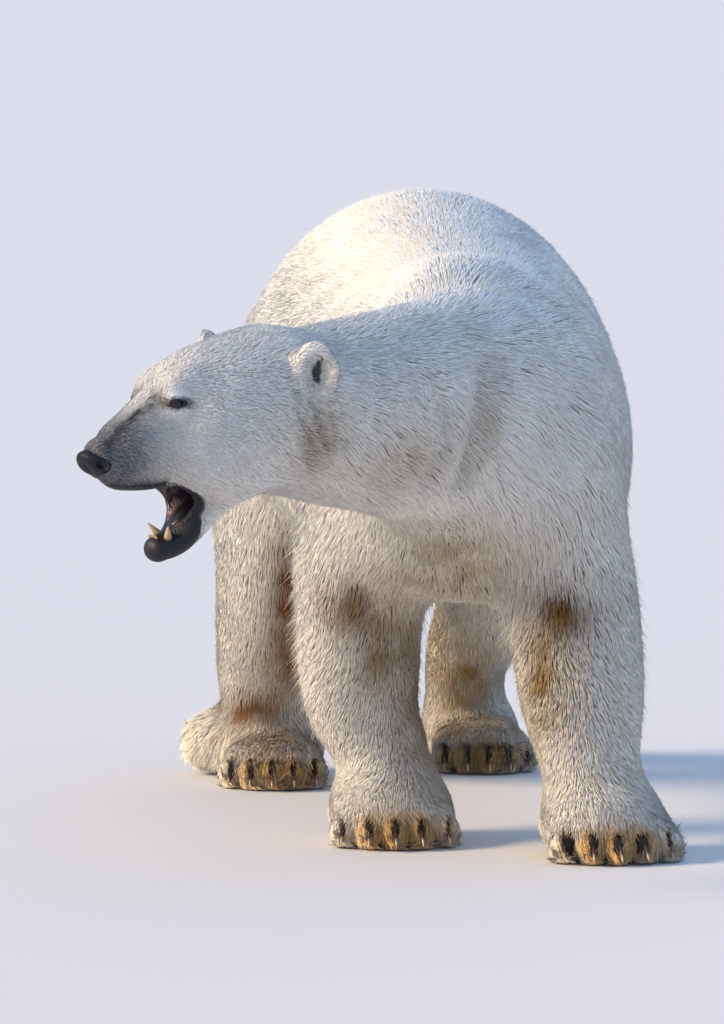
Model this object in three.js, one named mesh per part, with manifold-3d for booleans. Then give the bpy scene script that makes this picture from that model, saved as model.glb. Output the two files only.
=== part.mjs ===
// Polar bear (Ursus maritimus), life size: it stands on four feet, head swung to its right, mouth open.
// Millimetres, +Z up. The bear faces -Y and its own left side is +X.
// The outer form, out to the tips of the coat, is one smooth field: elliptic limbs and muscles blended.
// Each named part is the surface of that field inside the part's own region, parted by a thin cut.
import * as THREE from 'three';
import Module from 'manifold-3d';

const wasm = await Module();
wasm.setup();

// ------------------------------------------------------------------ driving dimensions
const SEAM = 0.3;                 // clear cut between neighbouring parts
const SHORTEST = 0.08;            // edges shorter than this are closed up
const FAR = 1e4;
const NEARBY = 150;               // past this distance from a form its box or sphere measures well enough

const HEAD = {
  nose: [-640, -1048, 653],       // tip of the nose
  turn: 58,                       // degrees from straight ahead to the bear's right
  stoop: 11.5,                    // degrees the nose points below level
  seam: -408,                     // the cut behind the ears, along the head's own axis
  jawLine: -98,                   // the cut between skull and lower jaw
  jawHinge: -272,
};
const EYE = { at: [-150, 44, 50], size: [12, 12, 12], segments: 10 };
const NOSE_PAD = { at: [-23, 0, -5], size: [28, 28, 20], segments: 10 };
const TONGUE = { at: [-166, 0, -113], size: [42, 22, 9], segments: 10 };
const EAR = {
  left: [-351, 124, 56], right: [-338, -122, 64], size: [15, 36, 42], faces: [0.62, 0.78],
  cup: [20, 22, 30], cupAhead: 20, cupBelow: 4,
};
const TOES = 5;
const CLAW = { length: 34, radius: 5.2, droop: 11, sides: 4, rings: 3 };
const CANINES = [
  { base: [-118, 14, -152], tip: [-117, 20, -127], droop: 1.5, radius: 7 },
  { base: [-129, -11, -155], tip: [-109, -20, -123], droop: 2.5, radius: 6.5 },
];

const LEG_TOP = 440;              // legs above this height belong to the trunk
const KNEE_CUT = 265;
const FORE_WRIST_CUT = 105;
const HIND_ANKLE_CUT = 120;

// How widely one form flows into the next.
const FLOW = {
  neck: 100, leg: 70, muscle: 60, toes: 13, foot: 62, skull: 50, jaw: 20, cheek: 50, brow: 20, mouth: 12,
  fringe: 45, ear: 14, earCup: 6, tail: 30,
};

// The size of the facets on each part.
const CELL = { trunk: 95, neck: 80, head: 30.5, jaw: 24, ear: 15, tail: 30, limb: 55, paw: 33 };

const COLOUR = {
  coat: 0xe6dfd0, coatShade: 0xd9d0bd, leg: 0xd8cbb2, paw: 0xb7925c, jaw: 0x4a4a50,
  nose: 0x222632, ear: 0xc9cbc8, eye: 0x2a1712, tongue: 0x4b3540, claw: 0x4a2c20,
};

// ------------------------------------------------------------------ vectors
const V = (x, y, z) => new THREE.Vector3(x, y, z);
const rad = THREE.MathUtils.degToRad;

/** The head's own axes: forward along the muzzle, to its left, and up. */
const headForward = V(
  -Math.sin(rad(HEAD.turn)) * Math.cos(rad(HEAD.stoop)),
  -Math.cos(rad(HEAD.turn)) * Math.cos(rad(HEAD.stoop)),
  -Math.sin(rad(HEAD.stoop)),
);
const headLeft = V(Math.cos(rad(HEAD.turn)), -Math.sin(rad(HEAD.turn)), 0);
const headUp = headLeft.clone().cross(headForward).negate();
const headOrigin = V(...HEAD.nose);

/** A point given along the head's axes, measured from the tip of the nose. */
function onHead(forward, left, up) {
  return headOrigin.clone()
    .addScaledVector(headForward, forward)
    .addScaledVector(headLeft, left)
    .addScaledVector(headUp, up);
}

const bodyAxes = [V(1, 0, 0), V(0, 1, 0), V(0, 0, 1)];
const headAxes = [headForward, headLeft, headUp];

// ------------------------------------------------------------------ the field
/** The lesser of two distances, rounded over a width k where they meet. */
function blend(a, b, k) {
  const h = Math.max(k - Math.abs(a - b), 0) / k;
  return Math.min(a, b) - h * h * k * 0.25;
}
const carve = (a, b, k) => -blend(-a, b, k);

/** Nearly a distance to an ellipse or ellipsoid: q are offsets along its axes, r its radii. */
function ellipticDistance(qx, qy, qz, rx, ry, rz) {
  const k0 = Math.hypot(qx / rx, qy / ry, qz / rz);
  const k1 = Math.hypot(qx / (rx * rx), qy / (ry * ry), qz / (rz * rz));
  return k1 < 1e-9 ? -Math.min(rx, ry, rz) : (k0 * (k0 - 1)) / k1;
}

/** An ellipsoid: centre, radii along its axes. */
class Muscle {
  constructor(centre, radii, axes = bodyAxes) {
    Object.assign(this, { centre, radii, axes });
    this.reach = Math.max(...radii);
  }

  distance(p) {
    const v = p.clone().sub(this.centre);
    const away = v.length() - this.reach;
    if (away > NEARBY) return away;
    return ellipticDistance(v.dot(this.axes[0]), v.dot(this.axes[1]), v.dot(this.axes[2]), ...this.radii);
  }
}

/** Values between rows of numbers on a Catmull-Rom curve, `steps` for each gap. */
function smoothRows(rows, steps) {
  const last = rows.length - 1;
  const before = rows[0].map((v, j) => 2 * v - rows[1][j]);
  const after = rows[last].map((v, j) => 2 * v - rows[last - 1][j]);
  const padded = [before, ...rows, after];
  const out = [];
  for (let i = 0; i < last; i += 1) {
    const [a, b, c, d] = padded.slice(i, i + 4);
    for (let s = 0; s < steps; s += 1) {
      const t = s / steps;
      out.push(b.map((v, j) => 0.5 * (2 * v + (c[j] - a[j]) * t
        + (2 * a[j] - 5 * v + 4 * c[j] - d[j]) * t * t + (3 * v - a[j] - 3 * c[j] + d[j]) * t * t * t)));
    }
  }
  out.push(rows[last].slice());
  return out;
}

/**
 * A limb: an elliptic section carried along a smooth line of stations.
 * A station is [x, y, z, half width, half height above, half height below].
 * `sideways` says which way the width lies, one direction or one for each station.
 */
class Limb {
  constructor(stations, { sideways = V(1, 0, 0), steps = 10, endRoundness = 0.8 } = {}) {
    const sides = stations.map((_, i) => (Array.isArray(sideways) ? sideways[i] : sideways));
    const rows = smoothRows(stations.map((s, i) => [...s, sides[i].x, sides[i].y, sides[i].z]), steps);
    this.points = rows.map((r) => V(r[0], r[1], r[2]));
    this.sizes = rows.map((r) => r.slice(3, 6));
    this.endRoundness = endRoundness;
    const last = rows.length - 1;
    this.along = this.points.map((_, i) => this.points[Math.min(i + 1, last)].clone()
      .sub(this.points[Math.max(i - 1, 0)]).normalize());
    this.across = rows.map((r, i) => {
      const w = V(r[6], r[7], r[8]);
      return w.addScaledVector(this.along[i], -w.dot(this.along[i])).normalize();
    });
    this.upright = this.along.map((t, i) => t.clone().cross(this.across[i]));
    if (this.upright.reduce((sum, h) => sum + h.z, 0) < 0) this.upright.forEach((h) => h.negate());
    this.box = new THREE.Box3().setFromPoints(this.points).expandByScalar(Math.max(...this.sizes.flat()));
  }

  distance(p) {
    const away = this.box.distanceToPoint(p);
    if (away > NEARBY) return away;
    const v = V();
    const step = V();
    let best = Infinity;
    let index = 0;
    let part = 0;
    for (let i = 0; i < this.points.length - 1; i += 1) {
      step.subVectors(this.points[i + 1], this.points[i]);
      v.subVectors(p, this.points[i]);
      const t = Math.min(Math.max(v.dot(step) / step.lengthSq(), 0), 1);
      const d = v.addScaledVector(step, -t).lengthSq();
      if (d < best) [best, index, part] = [d, i, t];
    }
    const mix = (list) => list[index].clone().lerp(list[index + 1], part);
    const size = this.sizes[index].map((s, j) => s + part * (this.sizes[index + 1][j] - s));
    const offset = p.clone().sub(mix(this.points));
    const high = offset.dot(mix(this.upright));
    const atEnd = (index === 0 && part === 0) || (index === this.points.length - 2 && part === 1);
    const past = atEnd ? offset.dot(mix(this.along)) : 0;
    const tip = this.endRoundness * Math.min(size[0], (size[1] + size[2]) / 2);
    const half = high > 0 ? size[1] : size[2];
    return ellipticDistance(offset.dot(mix(this.across)), high, past, size[0], half, tip);
  }
}

// ------------------------------------------------------------------ the trunk, neck and tail
const trunkForm = new Limb([
  [-14, -480, 622, 150, 208, 162],
  [-30, -400, 620, 195, 280, 235],
  [-15, -250, 610, 240, 285, 230],
  [-3, 0, 600, 287, 305, 225],
  [-5, 250, 590, 315, 360, 205],
  [-2, 450, 585, 320, 392, 190],
  [-2, 590, 585, 283, 343, 170],
], { endRoundness: 0.72 });

const neckForm = new Limb([
  [-10, -360, 670, 190, 205, 230],
  [-60, -520, 690, 165, 172, 200],
  [-160, -680, 705, 145, 145, 170],
  [-270, -795, 715, 132, 120, 150],
  [...onHead(-340, 0, 0), 126, 98, 128],
], {
  sideways: [V(1, 0, 0), V(0.9, -0.3, 0), V(0.72, -0.6, 0), V(0.6, -0.78, 0), headLeft],
  endRoundness: 0.7,
});

const tailForm = new Limb([
  [3, 750, 700, 50, 35, 35],
  [3, 800, 630, 40, 28, 28],
  [3, 815, 560, 22, 18, 18],
], { endRoundness: 1 });

const muscles = [
  new Muscle(V(194, 500, 540), [138, 190, 220]),     // left thigh
  new Muscle(V(-200, 460, 540), [138, 190, 220]),    // right thigh
  new Muscle(V(120, -360, 640), [95, 130, 190]),     // left shoulder
  new Muscle(V(-140, -320, 640), [95, 130, 190]),    // right shoulder
];

// ------------------------------------------------------------------ the head
/** A head station: distance along, height of its centre, half width, half heights above and below. */
const headStation = (forward, height, ...sizes) => [...onHead(forward, 0, height), ...sizes];

const skullForm = new Limb([
  headStation(-335, 8, 122, 104, 120),
  headStation(-270, 14, 110, 103, 100),
  headStation(-205, 18, 84, 92, 78),
  headStation(-150, 10, 57, 66, 66),
  headStation(-100, 0, 50, 52, 72),
  headStation(-60, -7, 42, 43, 54),
  headStation(-34, -5, 30, 30, 31),
], { sideways: headLeft, endRoundness: 0.75 });

const jawForm = new Limb([
  headStation(-275, -72, 62, 30, 22),
  headStation(-235, -90, 54, 30, 16),
  headStation(-185, -122, 45, 28, 28),
  headStation(-140, -153, 35, 18, 22),
  headStation(-106, -161, 23, 20, 18),
], { sideways: headLeft, endRoundness: 0.9 });

const mouthAxis = headForward.clone().multiplyScalar(0.9).addScaledVector(headUp, -0.44).normalize();
const mouthRoof = headUp.clone().addScaledVector(mouthAxis, -headUp.dot(mouthAxis)).normalize();
const mouthAxes = [mouthAxis, headLeft, mouthRoof];
const mouthHollow = new Muscle(onHead(-146, 0, -99), [56, 33, 24], mouthAxes);

const SIDES = { left: 1, right: -1 };
const bothSides = (make) => Object.values(SIDES).map(make);
const cheeks = bothSides((side) => new Muscle(onHead(-235, side * 50, -42), [100, 46, 66], headAxes));
const brows = bothSides((side) => new Muscle(onHead(-178, side * 36, 62), [38, 20, 30], headAxes));

/** The ear's axes: out of its mouth, across it and up. */
function earAxes(side) {
  const out = headForward.clone().multiplyScalar(EAR.faces[0]);
  out.addScaledVector(headLeft, side * EAR.faces[1]).normalize();
  return [out, headUp.clone().cross(out).normalize(), headUp];
}

// ------------------------------------------------------------------ the legs
const LEGS = {
  foreleg_left: {
    side: 1, paw: 'forepaw_left', ankle: FORE_WRIST_CUT,
    foot: { at: [188, -525], turn: 4, width: 98, length: 190 },
    room: [[20, -720], [420, -240]],
    stations: [
      [110, -360, 600, 105, 150, 150],
      [135, -370, 470, 105, 125, 125],
      [152, -400, 340, 103, 98, 98],
      [159, -440, 230, 96, 80, 85],
      [168, -475, 135, 78, 68, 70],
      [180, -500, 70, 81, 75, 75],
    ],
  },
  foreleg_right: {
    side: -1, paw: 'forepaw_right', ankle: FORE_WRIST_CUT,
    foot: { at: [-120, -318], turn: -3, width: 98, length: 190 },
    room: [[-420, -560], [-45, -110]],
    stations: [
      [-120, -300, 600, 105, 150, 150],
      [-160, -270, 470, 110, 125, 125],
      [-167, -250, 340, 100, 98, 98],
      [-163, -250, 220, 91, 82, 85],
      [-135, -265, 140, 74, 68, 70],
      [-125, -285, 70, 80, 75, 75],
    ],
  },
  hindleg_left: {
    side: 1, paw: 'hindpaw_left', ankle: HIND_ANKLE_CUT,
    foot: { at: [112.5, 677.5], turn: 2, width: 84, length: 250 },
    room: [[12, 215], [450, 960]],
    stations: [
      [150, 480, 600, 150, 200, 200],
      [190, 500, 470, 135, 165, 165],
      [165, 580, 340, 105, 120, 120],
      [105, 700, 210, 75, 85, 85],
      [98, 760, 120, 66, 70, 70],
      [105, 770, 60, 66, 70, 70],
    ],
  },
  hindleg_right: {
    side: -1, paw: 'hindpaw_right', ankle: HIND_ANKLE_CUT,
    foot: { at: [-242.5, 485], turn: -6, width: 84, length: 250 },
    room: [[-450, 200], [-40, 920]],
    stations: [
      [-150, 440, 600, 150, 200, 200],
      [-205, 420, 470, 135, 165, 165],
      [-230, 450, 340, 113, 120, 120],
      [-249, 520, 210, 89, 85, 85],
      [-245, 560, 120, 78, 70, 70],
      [-240, 575, 60, 70, 70, 70],
    ],
  },
};

/** A point of a foot: so far ahead of its middle and to the bear's left, at a height. */
function onFoot(foot, ahead, left, height) {
  const a = rad(foot.turn);
  return V(
    foot.at[0] + ahead * Math.sin(a) + left * Math.cos(a),
    foot.at[1] - ahead * Math.cos(a) + left * Math.sin(a),
    height,
  );
}

/** Where toe i stands across the foot, from -1 on the bear's right to 1 on its left. */
const toePlace = (i) => (2 * i) / (TOES - 1) - 1;

function footForms(foot) {
  const half = foot.length / 2;
  const sole = new Limb([
    [...onFoot(foot, -half * 0.8, 0, 45), foot.width * 0.80, 50, 60],
    [...onFoot(foot, 0, 0, 42), foot.width * 0.92, 46, 60],
    [...onFoot(foot, half * 0.45, 0, 38), foot.width * 0.90, 38, 54],
  ], { endRoundness: 0.8 });
  const toes = Array.from({ length: TOES }, (_, i) => {
    const t = toePlace(i);
    return new Limb([
      [...onFoot(foot, half * 0.30 - 12 * t * t, t * foot.width * 0.66, 40), 23.5, 26, 52],
      [...onFoot(foot, half * 0.92 - 30 * t * t, t * foot.width * 0.80, 26), 23.5, 24, 38],
    ], { steps: 1, endRoundness: 1 });
  });
  return [sole, ...toes];
}

const legForms = Object.values(LEGS).map((leg) => new Limb(leg.stations, { endRoundness: 0.9 }));
const pawForms = Object.values(LEGS).flatMap((leg) => footForms(leg.foot));
const fringes = [
  new Muscle(V(-312, 598, 60), [72, 56, 56]),        // long hair at the right hind heel
  new Muscle(V(262, -505, 18), [36, 75, 20]),        // hair trailing from the left forefoot's outer edge
];

// ------------------------------------------------------------------ the whole body
/** The body without ears, tail and nose pad: below zero inside. */
function bodyField(p) {
  let d = trunkForm.distance(p);
  d = blend(d, neckForm.distance(p), FLOW.neck);
  for (const leg of legForms) d = blend(d, leg.distance(p), FLOW.leg);
  for (const muscle of muscles) d = blend(d, muscle.distance(p), FLOW.muscle);
  let feet = FAR;
  for (const form of pawForms) feet = blend(feet, form.distance(p), FLOW.toes);
  d = blend(d, feet, FLOW.foot);
  d = blend(d, skullForm.distance(p), FLOW.skull);
  d = blend(d, jawForm.distance(p), FLOW.jaw);
  for (const cheek of cheeks) d = blend(d, cheek.distance(p), FLOW.cheek);
  for (const brow of brows) d = blend(d, brow.distance(p), FLOW.brow);
  d = carve(d, mouthHollow.distance(p), FLOW.mouth);
  for (const fringe of fringes) d = blend(d, fringe.distance(p), FLOW.fringe);
  return d;
}

/** Adds an ear, cupped, to a distance to the body. */
function earField(side) {
  const axes = earAxes(side);
  const middle = onHead(...(side > 0 ? EAR.left : EAR.right));
  const shell = new Muscle(middle, EAR.size, axes);
  const cupMiddle = middle.clone().addScaledVector(axes[0], EAR.cupAhead);
  cupMiddle.addScaledVector(axes[2], -EAR.cupBelow);
  const cup = new Muscle(cupMiddle, EAR.cup, axes);
  return (p, body) => carve(blend(body, shell.distance(p), FLOW.ear), cup.distance(p), FLOW.earCup);
}

// ------------------------------------------------------------------ from field to solid
const CORNERS = Array.from({ length: 8 }, (_, i) => [i & 1, (i >> 1) & 1, (i >> 2) & 1]);
const EDGES = CORNERS.flatMap((_, i) => [1, 2, 4].filter((bit) => !(i & bit)).map((bit) => [i, i | bit]));

/** Move a point onto the field's zero surface, along the field's slope. */
function settle(field, p, limit) {
  const h = 0.5;
  const start = p.clone();
  for (let pass = 0; pass < 3; pass += 1) {
    const value = field(p);
    const slope = V(
      field(p.clone().add(V(h, 0, 0))) - value,
      field(p.clone().add(V(0, h, 0))) - value,
      field(p.clone().add(V(0, 0, h))) - value,
    ).divideScalar(h);
    p.addScaledVector(slope, -value / Math.max(slope.lengthSq(), 0.25));
  }
  if (p.distanceTo(start) > limit) p.copy(start);
  return p;
}

/**
 * The field's zero surface in a box, as a closed faceted solid: one vertex in every cell that the surface
 * crosses, and one quad across every grid edge that it cuts. The box may be turned by `frame`.
 */
function solidOf(field, low, high, cell, frame = new THREE.Matrix4()) {
  const counts = low.map((v, i) => Math.ceil((high[i] - v) / cell) + 1);
  const [nx, ny, nz] = counts;
  const at = (i, j, k) => i + nx * (j + ny * k);
  const place = (i, j, k) => V(low[0] + i * cell, low[1] + j * cell, low[2] + k * cell).applyMatrix4(frame);
  const values = new Float64Array(nx * ny * nz);
  for (let k = 0; k < nz; k += 1) {
    for (let j = 0; j < ny; j += 1) {
      for (let i = 0; i < nx; i += 1) {
        const rim = i === 0 || j === 0 || k === 0 || i === nx - 1 || j === ny - 1 || k === nz - 1;
        const value = field(place(i, j, k));
        values[at(i, j, k)] = rim ? Math.max(value, cell * 0.5) : value;
      }
    }
  }
  const vertexOf = new Map();
  const positions = [];
  const cellVertex = (i, j, k) => {
    const key = at(i, j, k);
    if (!vertexOf.has(key)) {
      const sum = V(0, 0, 0);
      let crossings = 0;
      for (const [a, b] of EDGES) {
        const [ca, cb] = [CORNERS[a], CORNERS[b]];
        const va = values[at(i + ca[0], j + ca[1], k + ca[2])];
        const vb = values[at(i + cb[0], j + cb[1], k + cb[2])];
        if ((va < 0) === (vb < 0)) continue;
        const t = va / (va - vb);
        sum.add(V(...[i, j, k].map((v, n) => v + ca[n] + t * (cb[n] - ca[n]))));
        crossings += 1;
      }
      sum.divideScalar(crossings);
      const rim = [i, j, k].some((v, n) => v === 0 || v === counts[n] - 2);
      const p = V(...low).addScaledVector(sum, cell).applyMatrix4(frame);
      vertexOf.set(key, positions.length / 3);
      positions.push(...(rim ? p : settle(field, p, cell)));
    }
    return vertexOf.get(key);
  };
  const point = (v) => V(...positions.slice(3 * v, 3 * v + 3));
  const triangles = [];
  const quad = (a, b, c, d) => {
    const alongAC = point(a).distanceToSquared(point(c)) <= point(b).distanceToSquared(point(d));
    triangles.push(...(alongAC ? [a, b, c, a, c, d] : [b, c, d, b, d, a]));
  };
  // The four cells round a grid edge along x, y or z, in turning order seen from its far end.
  const around = [
    [[0, -1, -1], [0, 0, -1], [0, 0, 0], [0, -1, 0]],
    [[-1, 0, -1], [-1, 0, 0], [0, 0, 0], [0, 0, -1]],
    [[-1, -1, 0], [0, -1, 0], [0, 0, 0], [-1, 0, 0]],
  ];
  for (let axis = 0; axis < 3; axis += 1) {
    const first = [1, 1, 1];
    first[axis] = 0;
    for (let k = first[2]; k < nz - 1; k += 1) {
      for (let j = first[1]; j < ny - 1; j += 1) {
        for (let i = first[0]; i < nx - 1; i += 1) {
          const next = [i, j, k];
          next[axis] += 1;
          const here = values[at(i, j, k)] < 0;
          if (here === (values[at(...next)] < 0)) continue;
          const corners = around[axis].map((c) => cellVertex(i + c[0], j + c[1], k + c[2]));
          quad(...(here ? corners : corners.reverse()));
        }
      }
    }
  }
  return manifoldFrom(new Float32Array(positions), new Uint32Array(triangles));
}

function manifoldFrom(vertProperties, triVerts) {
  return new wasm.Manifold(new wasm.Mesh({ numProp: 3, vertProperties, triVerts }));
}

/** A solid from one of three's closed shapes, with its shared vertices merged by place. */
function solidFromGeometry(geometry) {
  const source = geometry.index ? geometry.toNonIndexed() : geometry;
  const place = source.getAttribute('position');
  const seen = new Map();
  const positions = [];
  const corners = [];
  for (let i = 0; i < place.count; i += 1) {
    const p = [place.getX(i), place.getY(i), place.getZ(i)];
    const key = p.map((v) => Math.round(v * 1000)).join();
    if (!seen.has(key)) {
      seen.set(key, positions.length / 3);
      positions.push(...p);
    }
    corners.push(seen.get(key));
  }
  const triangles = [];
  for (let i = 0; i < corners.length; i += 3) {
    const [a, b, c] = corners.slice(i, i + 3);
    if (a !== b && b !== c && c !== a) triangles.push(a, b, c);
  }
  return manifoldFrom(new Float32Array(positions), new Uint32Array(triangles));
}

/** A block between two corners, in a turned frame if one is given, grown by `grow` on all sides. */
function block(low, high, { grow = 0, frame = new THREE.Matrix4() } = {}) {
  const size = high.map((v, i) => v - low[i] + 2 * grow);
  const middle = high.map((v, i) => (v + low[i]) / 2);
  const geometry = new THREE.BoxGeometry(...size);
  geometry.translate(...middle);
  geometry.applyMatrix4(frame);
  return solidFromGeometry(geometry);
}

/** An ellipsoid on the head, given along the axes, with its poles above and below. */
function headBall({ at, size, segments }, axes, grow = 0) {
  const geometry = new THREE.SphereGeometry(1, segments, Math.round(segments * 0.65));
  geometry.rotateX(Math.PI / 2);
  geometry.scale(...size.map((v) => v + grow));
  geometry.applyMatrix4(new THREE.Matrix4().makeBasis(...axes).setPosition(onHead(...at)));
  return solidFromGeometry(geometry);
}

/**
 * A claw or tooth: round sections that shrink to a point along `ahead` and bend towards `bend`.
 * At t from 0 to 1 the section has the radius times (1 - t) to the 0.6, and is carried off by the droop
 * times t squared.
 */
function spike({ base, ahead, bend, length, droop, radius, sides, rings }, grow = 0) {
  const across = ahead.clone().cross(bend).normalize();
  const middle = (t) => base.clone().addScaledVector(ahead, length * t).addScaledVector(bend, droop * t * t);
  const positions = [];
  const triangles = [];
  for (let r = 0; r < rings; r += 1) {
    const t = r / rings;
    const along = middle(t + 0.01).sub(middle(t)).normalize();
    const upward = along.clone().cross(across);
    for (let s = 0; s < sides; s += 1) {
      const angle = (2 * Math.PI * s) / sides;
      const size = radius * (1 - t) ** 0.6 + grow;
      positions.push(...middle(t)
        .addScaledVector(across, size * Math.cos(angle))
        .addScaledVector(upward, size * Math.sin(angle)));
    }
  }
  const tip = rings * sides;
  positions.push(...middle(1).addScaledVector(ahead, grow), ...middle(0).addScaledVector(ahead, -grow));
  for (let s = 0; s < sides; s += 1) {
    const n = (s + 1) % sides;
    for (let r = 0; r < rings - 1; r += 1) {
      const [a, b, c, d] = [r * sides + s, r * sides + n, (r + 1) * sides + n, (r + 1) * sides + s];
      triangles.push(a, b, c, a, c, d);
    }
    triangles.push((rings - 1) * sides + s, (rings - 1) * sides + n, tip, n, s, tip + 1);
  }
  const solid = manifoldFrom(new Float32Array(positions), new Uint32Array(triangles));
  if (solid.volume() > 0) return solid;
  for (let i = 0; i < triangles.length; i += 3) triangles.splice(i, 2, triangles[i + 1], triangles[i]);
  return manifoldFrom(new Float32Array(positions), new Uint32Array(triangles));
}

// ------------------------------------------------------------------ the scene graph
const bear = new THREE.Group();
const upright = new THREE.Group();
bear.add(upright);

/** The triangles with every edge shorter than SHORTEST closed up, as cuts leave slivers there. */
function weld({ vertProperties, triVerts }) {
  const same = Array.from({ length: vertProperties.length / 3 }, (_, i) => i);
  const root = (i) => (same[i] === i ? i : root(same[i]));
  const point = (i) => V(...vertProperties.slice(3 * i, 3 * i + 3));
  for (let i = 0; i < triVerts.length; i += 1) {
    const [a, b] = [root(triVerts[i]), root(triVerts[i % 3 === 2 ? i - 2 : i + 1])];
    if (a !== b && point(a).distanceTo(point(b)) < SHORTEST) same[Math.max(a, b)] = Math.min(a, b);
  }
  const kept = [];
  for (let i = 0; i < triVerts.length; i += 3) {
    const [a, b, c] = [0, 1, 2].map((n) => root(triVerts[i + n]));
    if (a !== b && b !== c && c !== a) kept.push(a, b, c);
  }
  return partTouching(manifoldFrom(vertProperties, new Uint32Array(kept)).getMesh());
}

/** Where the surface touches itself, one of the touching vertices is drawn in a little to part them. */
function partTouching({ vertProperties, triVerts }) {
  const positions = new Float32Array(vertProperties);
  const point = (i) => V(...vertProperties.slice(3 * i, 3 * i + 3));
  const seen = new Set();
  for (let i = 0; i < positions.length / 3; i += 1) {
    const key = point(i).toArray().map((v) => Math.round(v * 100)).join();
    if (seen.has(key)) {
      const inward = V();
      for (let t = 0; t < triVerts.length; t += 3) {
        const [a, b, c] = [...triVerts.slice(t, t + 3)];
        if (a !== i && b !== i && c !== i) continue;
        inward.sub(point(b).sub(point(a)).cross(point(c).sub(point(a))));
      }
      point(i).addScaledVector(inward.normalize(), 3 * SHORTEST).toArray(positions, 3 * i);
    }
    seen.add(key);
  }
  return { vertProperties: positions, triVerts };
}

function finish(name, solid, color, { roughness = 0.9, metalness = 0 } = {}) {
  const { vertProperties, triVerts } = weld(solid.getMesh());
  const geometry = new THREE.BufferGeometry();
  geometry.setAttribute('position', new THREE.BufferAttribute(vertProperties, 3));
  geometry.setIndex(new THREE.BufferAttribute(triVerts, 1));
  const mesh = new THREE.Mesh(geometry, new THREE.MeshStandardMaterial({ color, roughness, metalness }));
  mesh.name = name;
  upright.add(mesh);
}

// Regions: the head in its own frame, the neck in a frame square to its root, the legs in upright blocks.
const headFrame = new THREE.Matrix4().makeBasis(...headAxes).setPosition(headOrigin);
const neckAhead = V(-0.42, -0.9, 0.05).normalize();
const neckSide = V(0.9, -0.42, 0).normalize();
const neckFrame = new THREE.Matrix4()
  .makeBasis(neckAhead, neckSide, neckSide.clone().cross(neckAhead).negate())
  .setPosition(V(-35, -455, 680));
const HEAD_ROOM = [[HEAD.seam, -200, -260], [60, 200, 200]];
const NECK_ROOM = [[0, -330, -228], [900, 330, 300]];
const JAW_ROOM = [[HEAD.jawHinge, -120, -260], [40, 120, HEAD.jawLine]];

const TAIL_ROOM = [[-58, 776, 520], [64, 880, 748]];
const earRoom = (side) => [[-400, side > 0 ? 101 : -190, 12], [-298, side > 0 ? 190 : -101, 130]];

const headBlock = (grow) => block(...HEAD_ROOM, { grow, frame: headFrame });
const neckBlock = (grow) => block(...NECK_ROOM, { grow, frame: neckFrame });
const legBlock = (leg, low, high, grow = 0) => (
  block([...leg.room[0], low], [...leg.room[1], high], { grow })
);
const padded = ([low, high], by) => [low.map((v) => v - by), high.map((v) => v + by)];

function buildTrunk() {
  const cuts = { trunk_chest: [-800, -180], trunk_belly: [-180, 240], trunk_rump: [240, 1000] };
  let body = solidOf(bodyField, [-430, -720, 240], [430, 900, 1040], CELL.trunk).subtract(neckBlock(SEAM));
  body = body.subtract(headBlock(SEAM)).subtract(block(...TAIL_ROOM, { grow: SEAM }));
  for (const leg of Object.values(LEGS)) body = body.subtract(legBlock(leg, -100, LEG_TOP, SEAM));
  for (const [name, [back, front]] of Object.entries(cuts)) {
    const piece = body.intersect(block([-600, back, 250], [600, front, 1100], { grow: -SEAM / 2 }));
    finish(name, largest(piece), COLOUR.coat);
  }
}

/** The biggest of a solid's separate bodies: a thin cut may leave crumbs. */
function largest(solid) {
  return solid.decompose().reduce((a, b) => (a.volume() > b.volume() ? a : b));
}

function buildNeck() {
  const [low, high] = padded([[-40, -220, -240], [520, 220, 230]], CELL.neck);
  const legs = Object.values(LEGS).map((leg) => legBlock(leg, -100, LEG_TOP, SEAM));
  let neck = solidOf(bodyField, low, high, CELL.neck, neckFrame);
  neck = neck.intersect(neckBlock(0)).subtract(headBlock(SEAM));
  for (const leg of legs) neck = neck.subtract(leg);
  finish('neck', largest(neck), COLOUR.coat);
}

function buildTail() {
  const field = (p) => blend(bodyField(p), tailForm.distance(p), FLOW.tail);
  const tail = solidOf(field, ...padded(TAIL_ROOM, CELL.tail * 1.5), CELL.tail);
  finish('tail', largest(tail.intersect(block(...TAIL_ROOM))), COLOUR.coatShade);
}

function buildLegs() {
  for (const [name, leg] of Object.entries(LEGS)) {
    const [[x0, y0], [x1, y1]] = leg.room;
    const [low, high] = padded([[x0, y0, leg.ankle], [x1, y1, LEG_TOP]], CELL.limb);
    const limb = solidOf(bodyField, low, high, CELL.limb);
    finish(`${name}_lower`, largest(limb.intersect(legBlock(leg, leg.ankle, KNEE_CUT - SEAM))), COLOUR.leg);
    finish(`${name}_upper`, largest(limb.intersect(legBlock(leg, KNEE_CUT, LEG_TOP))), COLOUR.leg);
    buildPaw(leg);
  }
}

/** Each claw grows from the front of its toe, level, and curves to the ground. */
function clawOf(foot, i) {
  const t = toePlace(i);
  const half = foot.length / 2;
  const base = onFoot(foot, half * 0.92 - 30 * t * t + 6, t * foot.width * 0.80, 31);
  const ahead = onFoot(foot, 1, t * 0.18, 0).sub(onFoot(foot, 0, 0, 0)).add(V(0, 0, -0.35)).normalize();
  return { base, ahead, bend: V(0, 0, -1), ...CLAW };
}

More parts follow.
